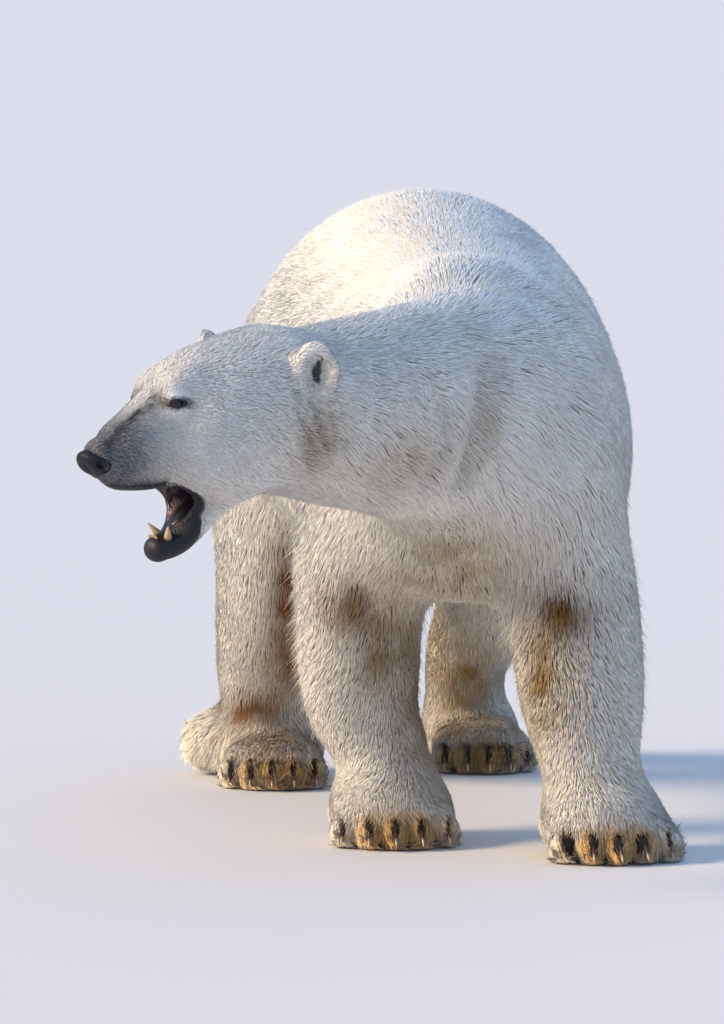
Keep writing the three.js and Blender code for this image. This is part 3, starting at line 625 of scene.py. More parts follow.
    def eye_radius(self, points: Array) -> Array:
        """Distance from the nearer eye's axis, 1 at the outer edge of its lids."""
        forward, left, up = HEAD.coords(points).T
        along, high = forward - self.EYE[0] - 1, up - self.EYE[2] - 1
        lean = math.radians(self.EYE_LEAN)
        a = along * math.cos(lean) + high * math.sin(lean)
        b = high * math.cos(lean) - along * math.sin(lean)
        return np.hypot(a / self.EYE_ROUND[0], b / self.EYE_ROUND[1]) + FAR * (np.abs(left) < 30)

    def depth(self, points: Array) -> Array:
        """How deep the coat is, from the skin to the tips."""
        forward = HEAD.coords(points)[:, 0]
        body = np.interp(points[:, 2], *self.BODY_DEPTH)
        head = np.interp(forward, *self.HEAD_DEPTH)
        weight = ease(-500, -360, forward)
        ear = np.zeros(len(points))
        for shell, _ in self.ears:
            ear = np.maximum(ear, ease(0.012, 0.0, shell.distance(points)))
        thick = (body + weight * (head - body)) * (1 - ear) + self.EAR_DEPTH * ear
        thick = self.LEAST_DEPTH + (thick - self.LEAST_DEPTH) * ease(14, 30, self.eye_distance(points) / MM)
        return thick * MM * (1.0 - self.bare(points))

    def skin(self, points: Array) -> Array:
        """The skin: the coat's surface drawn in by its depth, with sockets for the eyes."""
        d = self.coat(points) + self.depth(points)
        socket = self.eye_distance(points) - (self.EYE_RADIUS + 0.6) * MM
        opening = (self.eye_radius(points) - 0.9) * 5 * MM
        d = carve(d, -np.maximum(socket, opening), 1.5 * MM)
        lip = self.mouth.distance(points) - 6 * MM
        d = d - 2.2 * MM * np.exp(-((lip / (4 * MM)) ** 2))
        return np.maximum(d, 0.002 - points[:, 2])


FORM = BearForm()


def row_shift() -> Array:
    """From the bear's own frame to the row's: the nose pad's middle is known in both."""
    low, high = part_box("nose")
    middle = (np.array(low) + np.array(high)) / 2
    shift = middle - FORM.nose_pad.centre
    return np.array([shift[0], shift[1], 0.0])


SHIFT = row_shift()


# ---------------------------------------------------------------------------------------------- marks
@dataclass(frozen=True)
class Stain:
    """A soft-edged mark: its middle and radii in bear-frame millimetres, its colour and its strength."""

    middle: tuple[float, float, float]
    radii: tuple[float, float, float]
    colour: str
    strength: float

    def weight(self, points: Array) -> Array:
        """Its strength times a bell of the distance from its middle, against its radii."""
        return self.strength * bell(points, self.middle, self.radii)


class Markings:
    """The colours of the coat and of the skin under it."""

    WHITE, CREAM, BEIGE, GOLD = "#f4efe4", "#f4ecdc", "#d2bf98", "#cfa15a"
    # The first is painted shade, brownish, along the folds; the second is painted shade in the openings round
    # the claws, over black skin.
    DIRT, GAP = "#6d5a36", "#1a0f0b"
    HAIR_GREY, BLACK, LINING, LIP = "#5d6168", "#15141a", "#1f131a", "#111016"
    STRIPE, EYE_RIM, LIP_HAIR, EAR_HAIR = "#15171d", "#2a2625", "#2c2c33", "#8d8c86"
    LINING_VEIN, GUM_EDGE, EAR_HOLE = "#5c4a5a", "#a58f86", "#2b2826"
    # The dark stripe from the eye to the nose: forward on the head against up.
    STRIPE_LINE = ((-135, -100, -60, -35), (61, 51, 34, 20))
    STAINS = (
        Stain((-234, 330, 330), (26, 120, 130), "#7d4a08", 1.0),        # right hind leg, inside
        Stain((-225, 420, 210), (34, 90, 60), "#8a5a18", 0.9),
        Stain((-280, 484, 128), (44, 60, 30), "#8f5a12", 0.95),         # its hock
        Stain((-250, 440, 84), (85, 90, 26), "#94703a", 0.7),
        Stain((-184, -366, 388), (44, 60, 40), "#8a5a1c", 0.9),         # right foreleg, inside
        Stain((-125, -330, 320), (55, 60, 75), "#94703c", 0.75),
        Stain((-75, -300, 230), (40, 80, 130), "#8f6d38", 0.8),
        Stain((119, -489, 386), (50, 50, 46), "#7c531a", 0.95),         # the left elbow's fold
        Stain((98, -482, 290), (40, 60, 110), "#9a7840", 0.75),
        Stain((-60, -500, 420), (110, 110, 50), "#8f6f36", 0.85),       # low on the chest
        Stain((-60, -580, 490), (110, 80, 50), "#a0845a", 0.55),
        Stain((80, 640, 160), (70, 90, 130), "#b08a48", 0.8),           # left hind leg, inside
        Stain((-285, -970, 670), (50, 50, 60), "#a68a52", 0.6),         # under the ear
        Stain((-150, -840, 640), (110, 80, 50), "#b39c6c", 0.45),       # low on the neck
        Stain((-25, -745, 690), (40, 60, 80), "#b5a070", 0.4),
    )

    def coat(self, points: Array) -> Array:
        """The coat's colour at points, linear."""
        high = points[:, 2]
        colour = tint(linear(self.CREAM), self.WHITE, ease(0.45, 0.85, high))
        colour = tint(colour, self.BEIGE, ease(0.50, 0.25, high) * 0.12)
        cloud = 1 + 0.5 * noise(points, 0.03, 5)
        for stain in self.STAINS:
            colour = tint(colour, stain.colour, np.clip(stain.weight(points) * cloud, 0, 1))
        # Painted shade, brownish, along each fold.
        for crease in FORM.CREASES:
            colour = tint(colour, self.DIRT, crease.painted_shade * crease.share(points))
        colour = tint(colour, self.GOLD, self.toe_weight(points))
        # Painted shade in the openings that the claws leave in the hair.
        colour = tint(colour, self.GAP, 0.85 * FORM.claw_gap(points))
        return self.face(points, colour)

    @staticmethod
    def fold_shade(points: Array) -> Array:
        """How much painted shade points get in the folds, from 0 to 1."""
        return np.max([crease.painted_shade * crease.share(points) ** 2 for crease in FORM.CREASES], axis=0)

    @staticmethod
    def toe_weight(points: Array) -> Array:
        """How golden the hair of the toes is: most at their fronts, least on the outermost toe."""
        weight = np.zeros(len(points))
        for leg in LEGS:
            ahead, left, height = leg.foot.coords(points).T
            front = ease(leg.foot.length * 0.24, leg.foot.length * 0.43, ahead)
            outer = left / leg.foot.width * SIDES[leg.name.split("_")[1]]
            near = (np.hypot(ahead, left) < 190) * ease(85, 55, height) * (0.45 + 0.55 * ease(8, 26, height))
            weight = np.maximum(weight, front * near * (1 - 0.65 * ease(0.35, 0.9, outer)) * 0.9)
        return weight

    def face(self, points: Array, colour: Array) -> Array:
        """Greys the muzzle, where short hair lets dark skin show, up to a dark stripe before each eye."""
        forward, left, up = HEAD.coords(points).T
        on_head = forward > -330
        side = np.abs(left)
        muzzle = ease(-165, -35, forward) * ease(66, 30, up)
        colour = tint(colour, self.HAIR_GREY, 0.85 * muzzle * on_head)
        stripe = np.exp(-(((up - np.interp(forward, *self.STRIPE_LINE)) / 10.5) ** 2)) * ease(9, 20, side)
        stripe = stripe * ease(-150, -120, forward)
        patchy = (0.8 + 0.6 * noise(points, 0.006, 52)).clip(0, 1)
        colour = tint(colour, self.STRIPE, 0.95 * stripe * patchy * on_head)
        # Dark lid skin round each eye, with painted shade from the lids and the brow.
        rim = ease(1.9, 1.1, FORM.eye_radius(points)) * on_head
        colour = tint(colour, self.EYE_RIM, 0.85 * rim)
        corner = ease(26, 2, FORM.mouth.distance(points) / MM) * (forward > -215)
        edge = ease(20, 4, FORM.over_lip(forward, up)) * (forward > -120) * (up < 0)
        colour = tint(colour, self.LIP_HAIR, 0.75 * np.maximum(corner, edge) * on_head)
        for shell, cup in FORM.ears:
            inside = ease(0.006, -0.003, cup.distance(points)) * ease(0.004, -0.002, shell.distance(points))
            colour = tint(colour, self.EAR_HAIR, 0.5 * inside)
        return colour

    def skin(self, points: Array) -> tuple[Array, Array]:
        """The skin's colour, the coat's own colour darkened where hair grows, and how wet it is."""
        bare = FORM.bare(points)
        forward, _, up = HEAD.coords(points).T
        muzzle = ease(-150, -50, forward) * ease(60, 25, up)
        colour = tint(self.coat(points), self.LIP, 0.7 * muzzle)
        lining = FORM.mouth_mask(points)
        streak = 0.5 + 0.5 * noise(points, 0.007, 21)
        naked = tint(plain(self.LIP, len(points)), self.LINING, lining)
        naked = tint(naked, self.LINING_VEIN, 0.3 * lining * streak**3)
        rim = np.exp(-(((FORM.mouth.distance(points) / MM - 3.0) / 1.6) ** 2))
        rim = rim * ease(0.0, 0.5, noise(points, 0.009, 22))
        naked = tint(naked, self.GUM_EDGE, 0.75 * rim * (up < -62))
        naked = tint(naked, self.EAR_HOLE, FORM.ear_slit(points))
        naked = tint(naked, self.BLACK, ease(0.012, 0.006, points[:, 2]))
        colour = mix(colour, naked, bare)
        # Painted shade in the claws' openings, over the black skin there.
        colour = tint(colour, self.GAP, FORM.claw_gap(points))
        return colour, np.clip(lining + 0.35 * bare, 0, 1)


MARKS = Markings()


# ---------------------------------------------------------------------------------------------- materials
def add_node(
    tree: bpy.types.NodeTree, kind: str, inputs: dict | None = None, **settings: object
) -> bpy.types.Node:
    """Adds a shader node.

    Args:
        tree: the node tree it goes in.
        kind: the node's type.
        inputs: a value, or an output socket to link, for each input name.
        settings: attributes of the node itself.

    Returns:
        The new node.
    """
    node = tree.nodes.new(kind)
    for name, value in settings.items():
        setattr(node, name, value)
    for name, value in (inputs or {}).items():
        if isinstance(value, bpy.types.NodeSocket):
            tree.links.new(value, node.inputs[name])
        else:
            node.inputs[name].default_value = value
    return node


@dataclass(frozen=True)
class Finish:
    """A surface whose colour comes from its piece's own 'tone' attribute."""

    name: str
    roughness: float = 0.6
    sheen: float = 0.0
    specular: float = 0.5
    coat: float = 0.0
    ior: float = 1.5
    bump_mm: float = 0.0            # size of the grain
    bump_height_mm: float = 0.0
    stretch: tuple[float, float, float] = (1.0, 1.0, 1.0)
    wet_roughness: float | None = None

    def build(self) -> bpy.types.Material:
        """Makes the material: a shader with the tone, a grain and, where wet, a lower roughness."""
        material = bpy.data.materials.new(self.name)
        material.use_nodes = True
        tree = material.node_tree
        shader = tree.nodes["Principled BSDF"]
        tone = add_node(tree, "ShaderNodeAttribute", attribute_name="tone")
        tree.links.new(tone.outputs["Color"], shader.inputs["Base Color"])
        for name, value in {
            "Roughness": self.roughness, "IOR": self.ior, "Specular IOR Level": self.specular,
            "Sheen Weight": self.sheen, "Coat Weight": self.coat,
        }.items():
            shader.inputs[name].default_value = value
        if self.wet_roughness is not None:
            wet = add_node(tree, "ShaderNodeAttribute", attribute_name="wet")
            rough = add_node(tree, "ShaderNodeMapRange", {
                "Value": wet.outputs["Fac"], "To Min": self.roughness, "To Max": self.wet_roughness,
            })
            tree.links.new(rough.outputs["Result"], shader.inputs["Roughness"])
        if self.bump_height_mm:
            where = add_node(tree, "ShaderNodeTexCoord")
            drawn_out = add_node(tree, "ShaderNodeMapping", {
                "Vector": where.outputs["Object"], "Scale": self.stretch,
            })
            grain = add_node(tree, "ShaderNodeTexNoise", {
                "Vector": drawn_out.outputs["Vector"], "Scale": 1.0 / (self.bump_mm * MM), "Detail": 2.0,
            })
            bump = add_node(tree, "ShaderNodeBump", {
                "Height": grain.outputs["Fac"], "Strength": 0.8, "Distance": self.bump_height_mm * MM,
            })
            tree.links.new(bump.outputs["Normal"], shader.inputs["Normal"])
        return material


# Guard hair: clear, hollow, unpigmented shafts scatter light, so the coat looks soft and barely glossy.
GUARD_HAIR = Finish("polar bear guard hair, dry", roughness=0.62, sheen=0.06, specular=0.22)
# Hide: black skin seen only between the hairs and at the lips; the mouth's lining is wet.
HIDE = Finish("hide with short underfur", roughness=0.7, bump_mm=3.0, bump_height_mm=1.2,
              stretch=(1.0, 1.0, 0.35), wet_roughness=0.28)
# Nose leather: black, moist, finely pebbled skin, so it shows soft broken highlights.
NOSE_LEATHER = Finish("moist nose leather", roughness=0.55, specular=0.35, bump_mm=2.2, bump_height_mm=1.0)
# Lid skin: thin dark hairless skin, slightly moist at the edge.
LID_SKIN = Finish("eyelid skin", roughness=0.45, coat=0.1, bump_mm=1.2, bump_height_mm=0.2)
# Cornea and iris: dark brown under a clear wet film, which gives a sharp small highlight.
WET_EYE = Finish("wet eye", roughness=0.2, coat=0.5, ior=1.38)
# Dentine and enamel: ivory, browner towards the gum, polished by use.
ENAMEL = Finish("tooth enamel", roughness=0.3, coat=0.3, bump_mm=2.0, bump_height_mm=0.15,
                stretch=(1, 1, 0.3))
# Tongue: wet muscle with a fine nap.
TONGUE_SKIN = Finish("tongue, wet", roughness=0.35, coat=0.2, bump_mm=1.5, bump_height_mm=0.5)
# Claw horn: keratin, dark red-brown and paler at the worn tip, smooth along its length.
CLAW_HORN = Finish("claw keratin", roughness=0.35, coat=0.2, bump_mm=1.5, bump_height_mm=0.12,
                   stretch=(1, 1, 0.2))


def make_piece(
    name: str,
    slot: str,
    vertices: Array,
    faces: Array,
    tones: Array,
    material: bpy.types.Material,
    stands_for: Iterable[str] = (),
    wet: Array | None = None,
    normals: Array | None = None,
    uv: Array | None = None,
) -> bpy.types.Object:
    """Makes a smooth-shaded piece from whole arrays, and tells the frame about it.

    Args:
        name: the piece's name.
        slot: not used.
        vertices: points in the bear's own frame.
        faces: rows of 3 or 4 vertex numbers.
        tones: a linear colour for each vertex.
        material: its one material.
        stands_for: the solids that it replaces.
        wet: how wet each vertex is.
        normals: a normal for each vertex, where the mesh's own isn't wanted.
        uv: a place on the OFBake map for each vertex.

    Returns:
        The new object.
    """
    mesh = bpy.data.meshes.new(name)
    count, sides = faces.shape
    mesh.vertices.add(len(vertices))
    mesh.vertices.foreach_set("co", (vertices + SHIFT).astype(np.float32).ravel())
    mesh.loops.add(count * sides)
    mesh.loops.foreach_set("vertex_index", faces.astype(np.int32).ravel())
    mesh.polygons.add(count)
    mesh.polygons.foreach_set("loop_start", np.arange(0, count * sides, sides, dtype=np.int32))
    mesh.polygons.foreach_set("use_smooth", np.ones(count, bool))
    mesh.update(calc_edges=True)
    tone = mesh.attributes.new("tone", "FLOAT_COLOR", "POINT")
    tone.data.foreach_set("color", np.hstack([tones, np.ones((len(tones), 1))]).astype(np.float32).ravel())
    if wet is not None:
        mesh.attributes.new("wet", "FLOAT", "POINT").data.foreach_set("value", wet.astype(np.float32))
    if uv is not None:
        layer = mesh.uv_layers.new(name="OFBake")
        layer.data.foreach_set("uv", uv[faces.ravel()].astype(np.float32).ravel())
    if normals is not None:
        mesh.normals_split_custom_set_from_vertices(normals.astype(np.float32))
    mesh.materials.append(material)
    piece = bpy.data.objects.new(name, mesh)
    bpy.context.scene.collection.objects.link(piece)
    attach(piece, BODY)
    if stands_for:
        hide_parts(*stands_for)
    LOG.info("%s: %d vertices, %d faces", name, len(vertices), count)
    return piece


# ---------------------------------------------------------------------------------------------- surfaces
def level_surface(function: Field, low: Array, high: Array, cell: float) -> tuple[Array, Array]:
    """The zero surface of a field in a box, as quads.

    The box is looked at in coarse blocks first, and only the blocks near the surface are worked out in full.

    Args:
        function: the field, below zero inside.
        low: the box's lowest corner.
        high: its highest corner.
        cell: the size of a grid cell.

    Returns:
        The vertices and the quads, facing outwards.
    """
    block = 4
    blocks = np.ceil((np.asarray(high) - low) / (cell * block)).astype(int)
    index = np.stack(np.meshgrid(*[np.arange(n) for n in blocks], indexing="ij"), -1).reshape(-1, 3)
    middle = low + (index * block + (block - 1) / 2) * cell
    coarse = in_blocks(function, middle)
    grid = np.repeat(np.sign(coarse) * 4 * cell, block**3).reshape(-1, block, block, block)
    near = np.flatnonzero(np.abs(coarse) < 6.5 * cell)
    inside = np.stack(np.meshgrid(*[np.arange(block)] * 3, indexing="ij"), -1).reshape(-1, 3)
    points = low + (index[near][:, None, :] * block + inside) * cell
    values = in_blocks(function, points.reshape(-1, 3))
    grid[near] = values.reshape(-1, block, block, block)
    grid = grid.reshape(*blocks, block, block, block).transpose(0, 3, 1, 4, 2, 5).reshape(*(blocks * block))
    volume = openvdb.FloatGrid(4 * cell)
    volume.copyFromArray(np.clip(grid, -4 * cell, 4 * cell).astype(np.float32))
    vertices, quads = volume.convertToQuads(isovalue=0.0)
    return np.asarray(low) + np.asarray(vertices, float) * cell, np.asarray(quads)[:, ::-1].astype(np.int64)


def settle(function: Field, points: Array, limit: float, passes: int = 2) -> Array:
    """Moves points onto a field's zero surface along its slope, by no more than a limit."""
    start = points
    for _ in range(passes):
        value, gradient = slope(function, points)
        square = np.maximum(np.sum(gradient**2, axis=1), 0.25)
        points = points - gradient * (value / square)[:, None]
    moved = np.linalg.norm(points - start, axis=1)
    return np.where((moved < limit)[:, None], points, start)


class Skin:
    """One closed skin for the whole body, finer on the head and the feet, with sockets for the eyes."""

    BODY_CELL, HEAD_CELL, FOOT_CELL = 12.5 * MM, 3.2 * MM, 5.2 * MM
    HEAD_PLANE = -400.0             # mm along the head's axis
    FOOT_PLANE = 0.13
    GAP = 8 * MM                    # left between the parts, and then bridged
    # The lowest and highest corners of the boxes that hold the body, the head and the feet, in metres.
    BODY_BOX = ((-0.45, -1.02, 0.09), (0.42, 0.88, 0.99))
    HEAD_BOX = ((-0.70, -1.20, 0.44), (-0.10, -0.70, 0.88))
    FOOT_BOX = ((-0.42, -0.70, -0.01), (0.36, 0.92, 0.15))

    def __init__(self) -> None:
        """Works out the skin's vertices, triangles and normals."""
        self.vertices, self.triangles = self.join()
        _, gradient = slope(FORM.skin, self.vertices, 1.5 * MM)
        self.normals = unit(gradient)

    @staticmethod
    def part(box: Sequence[Sequence[float]], cell: float, cuts: list) -> bmesh.types.BMesh:
        """A part of the skin in a box, cut off at planes.

        Args:
            box: the box's lowest and highest corners.
            cell: the grid's cell.
            cuts: for each plane, a point on it and the direction that is cut away.

        Returns:
            The part as an open mesh.
        """
        vertices, quads = level_surface(FORM.skin, np.array(box[0]), np.array(box[1]), cell)
        mesh = bpy.data.meshes.new("part")
        mesh.from_pydata(vertices.tolist(), [], quads.tolist())
        part = bmesh.new()
        part.from_mesh(mesh)
        bpy.data.meshes.remove(mesh)
        for point, away in cuts:
            everything = [*part.verts, *part.edges, *part.faces]
            bmesh.ops.bisect_plane(
                part, geom=everything, plane_co=point.tolist(), plane_no=away.tolist(), clear_outer=True)
        return part

    def join(self) -> tuple[Array, Array]:
        """Builds the body, the head and the feet, bridges the gaps, and settles all on the skin."""
        neck = HEAD.place(self.HEAD_PLANE, 0, 0) * MM
        floor_cut = np.array([0, 0, self.FOOT_PLANE])
        down, half = np.array([0, 0, -1.0]), self.GAP / 2
        parts = [
            self.part(self.BODY_BOX, self.BODY_CELL,
                      [(neck - half * AHEAD, AHEAD), (floor_cut - half * down, down)]),
            self.part(self.HEAD_BOX, self.HEAD_CELL, [(neck + half * AHEAD, -AHEAD)]),
            self.part(self.FOOT_BOX, self.FOOT_CELL, [(floor_cut + half * down, -down)]),
        ]
        whole = bmesh.new()
        for part in parts:
            mesh = bpy.data.meshes.new("part")
            part.to_mesh(mesh)
            whole.from_mesh(mesh)
            bpy.data.meshes.remove(mesh)
            part.free()
        self.bridge(whole)
        bmesh.ops.triangulate(whole, faces=whole.faces)
        bmesh.ops.recalc_face_normals(whole, faces=whole.faces)
        mesh = bpy.data.meshes.new("whole")
        whole.to_mesh(mesh)
        whole.free()
        vertices = np.empty(3 * len(mesh.vertices), np.float32)
        mesh.vertices.foreach_get("co", vertices)
        triangles = np.empty(len(mesh.loops), np.int32)
        mesh.loops.foreach_get("vertex_index", triangles)
        bpy.data.meshes.remove(mesh)
        settled = settle(FORM.skin, vertices.reshape(-1, 3).astype(float), 6 * MM)
        return settled, triangles.reshape(-1, 3).astype(np.int64)

    def bridge(self, whole: bmesh.types.BMesh) -> None:
        """Bridges each gap: the one across the neck, and the one at each ankle."""
        open_edges = [e for e in whole.edges if e.is_boundary]
        middles = np.array([(e.verts[0].co + e.verts[1].co) / 2 for e in open_edges])
        ankles = np.array([self.ankle(limb) for limb in FORM.legs])
        nearest = np.argmin(np.linalg.norm(middles[:, None, :2] - ankles[None], axis=2), axis=1)
        group = np.where(middles[:, 2] > 0.3, len(FORM.legs), nearest)
        for number in range(len(FORM.legs) + 1):
            edges = [e for e, g in zip(open_edges, group) if g == number]
            bmesh.ops.bridge_loops(whole, edges=edges)

    def ankle(self, limb: Limb) -> Array:
        """Where a leg's centre line crosses the plane above the feet."""
        row = np.argmin(np.abs(limb.points[:, 2] - self.FOOT_PLANE))
        return limb.points[row, :2]


# ---------------------------------------------------------------------------------------------- the coat
class Region(Enum):
    """Where a tuft grows: each region is one piece of the coat."""

    HEAD_LEFT = "coat_head_left"
    HEAD_RIGHT = "coat_head_right"
    NECK = "coat_neck"
    CHEST_LEFT = "coat_chest_left"
    CHEST_RIGHT = "coat_chest_right"
    BELLY_LEFT = "coat_belly_left"
    BELLY_RIGHT = "coat_belly_right"
    RUMP_LEFT = "coat_rump_left"
    RUMP_RIGHT = "coat_rump_right"
    FORELEG_LEFT = "coat_foreleg_left"
    FORELEG_RIGHT = "coat_foreleg_right"
    HINDLEG_LEFT = "coat_hindleg_left"
    HINDLEG_RIGHT = "coat_hindleg_right"
    FOREPAWS = "coat_forepaws"
    HINDPAWS = "coat_hindpaws"


class Lie:
    """Which way the hair lies."""

    REACH = 35 * MM                 # how quickly one part's lie gives way to the next one's
    TRUNK = (0.0, 1.0, -0.9)
    TAIL = (0.0, 0.1, -1.0)
    NECK_FALL = (0.0, 0.0, -0.55)   # added to the way back along the neck
    LEG_SLANTS = (0.28, -0.32, 0.15, -0.15)
    LONG_WAVE = (0.28, 0.06, 3)     # strength, size in metres, seed
    SHORT_WAVE = (0.30, 0.017, 4)

    def direction(self, points: Array, normals: Array) -> Array:
        """The lie at points on the skin: a mix of each part's own lie, laid flat and waved a little.

        Args:
            points: places on the skin.
            normals: the skin's normals there.

        Returns:
            Unit vectors along the skin.
        """
        total = np.zeros_like(points)

        def add(distance: Array, lie: Array | Sequence[float]) -> None:
            """Adds a part's lie, with a weight that falls with the distance to the part."""
            weight = np.exp(-np.maximum(distance, -0.02) / self.REACH)
            total[:] += weight[:, None] * unit(np.broadcast_to(lie, points.shape))

        add(in_blocks(FORM.trunk.distance, points), self.TRUNK)
        back = -in_blocks(FORM.neck.direction, points)
        add(in_blocks(FORM.neck.distance, points), back + np.array(self.NECK_FALL))
        for leg, slant in zip(FORM.legs, self.LEG_SLANTS):
            add(in_blocks(leg.distance, points), (slant, 0.15, -1.0))
        add(in_blocks(FORM.tail.distance, points), self.TAIL)
        self.add_head(points, normals, total)
        self.add_feet(points, total)
        total = unit(total - np.sum(total * normals, axis=1, keepdims=True) * normals)
        sideways = np.cross(normals, total)
        on_face = ease(-330, -230, HEAD.coords(points)[:, 0])
        wave = sum(strength * noise(points, *kind) for strength, *kind in (self.LONG_WAVE, self.SHORT_WAVE))
        wave = wave * (1 - 0.55 * on_face)
        return unit(total + wave[:, None] * sideways)

    @staticmethod
    def add_head(points: Array, normals: Array, total: Array) -> None:
        """Hair runs back from the nose and down the sides, spreads from the eyes, and stands on the ears."""
        coords = HEAD.coords(points)
        weight = ease(-440, -330, coords[:, 0])[:, None]
        lateral = np.abs(normals @ LEFT)[:, None]
        lie = unit(-AHEAD - UP * 0.95 * lateral)
        side = np.sign(coords[:, 1])
        offset = coords - np.array(FORM.EYE) * np.stack([np.ones_like(side), side, np.ones_like(side)], 1)
        around = offset[:, :1] * AHEAD + offset[:, 2:] * UP
        near = np.exp(-(np.linalg.norm(offset, axis=1) / 24) ** 2)[:, None]
        lie = unit(lie + 1.5 * near * unit(around))
        for shell, _ in FORM.ears:
            close = ease(0.006, -0.001, shell.distance(points))[:, None]
            offset = (points - shell.centre) @ shell.axes.T
            inside = ease(0.001, 0.006, offset[:, 0])[:, None]
            rim = unit(offset[:, 1:2] * shell.axes[1] + (offset[:, 2:] + 0.012) * UP)
            across = unit(-AHEAD * 0.9 - UP * 0.35)
            own = unit(0.55 * rim * (1 - inside) + across * (0.45 + 0.55 * inside) + 0.25 * UP)
            lie = unit(lie * (1 - close) + own * close)
        total[:] = total * (1 - weight) + lie * weight

    @staticmethod
    def add_feet(points: Array, total: Array) -> None:
        """On the feet the hair runs forwards and down over the toes."""
        for leg in LEGS:
            ahead, left, height = leg.foot.coords(points).T
            near = (np.hypot(ahead, left) < 230) * ease(110, 60, height)
            a = math.radians(leg.foot.turn)
            forward = np.array([math.sin(a), -math.cos(a), 0.0])
            outward = np.array([math.cos(a), math.sin(a), 0.0])
            spread = (left / leg.foot.width)[:, None] * outward
            rear = ease(-20, -90, ahead)[:, None]
            lie = unit(forward * (1 - 1.7 * rear) + spread * 0.5 + np.array([0, 0, -0.8]))
            total[:] = total * (1 - near[:, None]) + lie * near[:, None]


@dataclass(frozen=True)
class Growth:
    """How the hair grows in a place, in millimetres."""

    spacing: float
    length: float
    width: float

    @property
    def row(self) -> Array:
        """The three as an array."""
        return np.array([self.spacing, self.length, self.width])


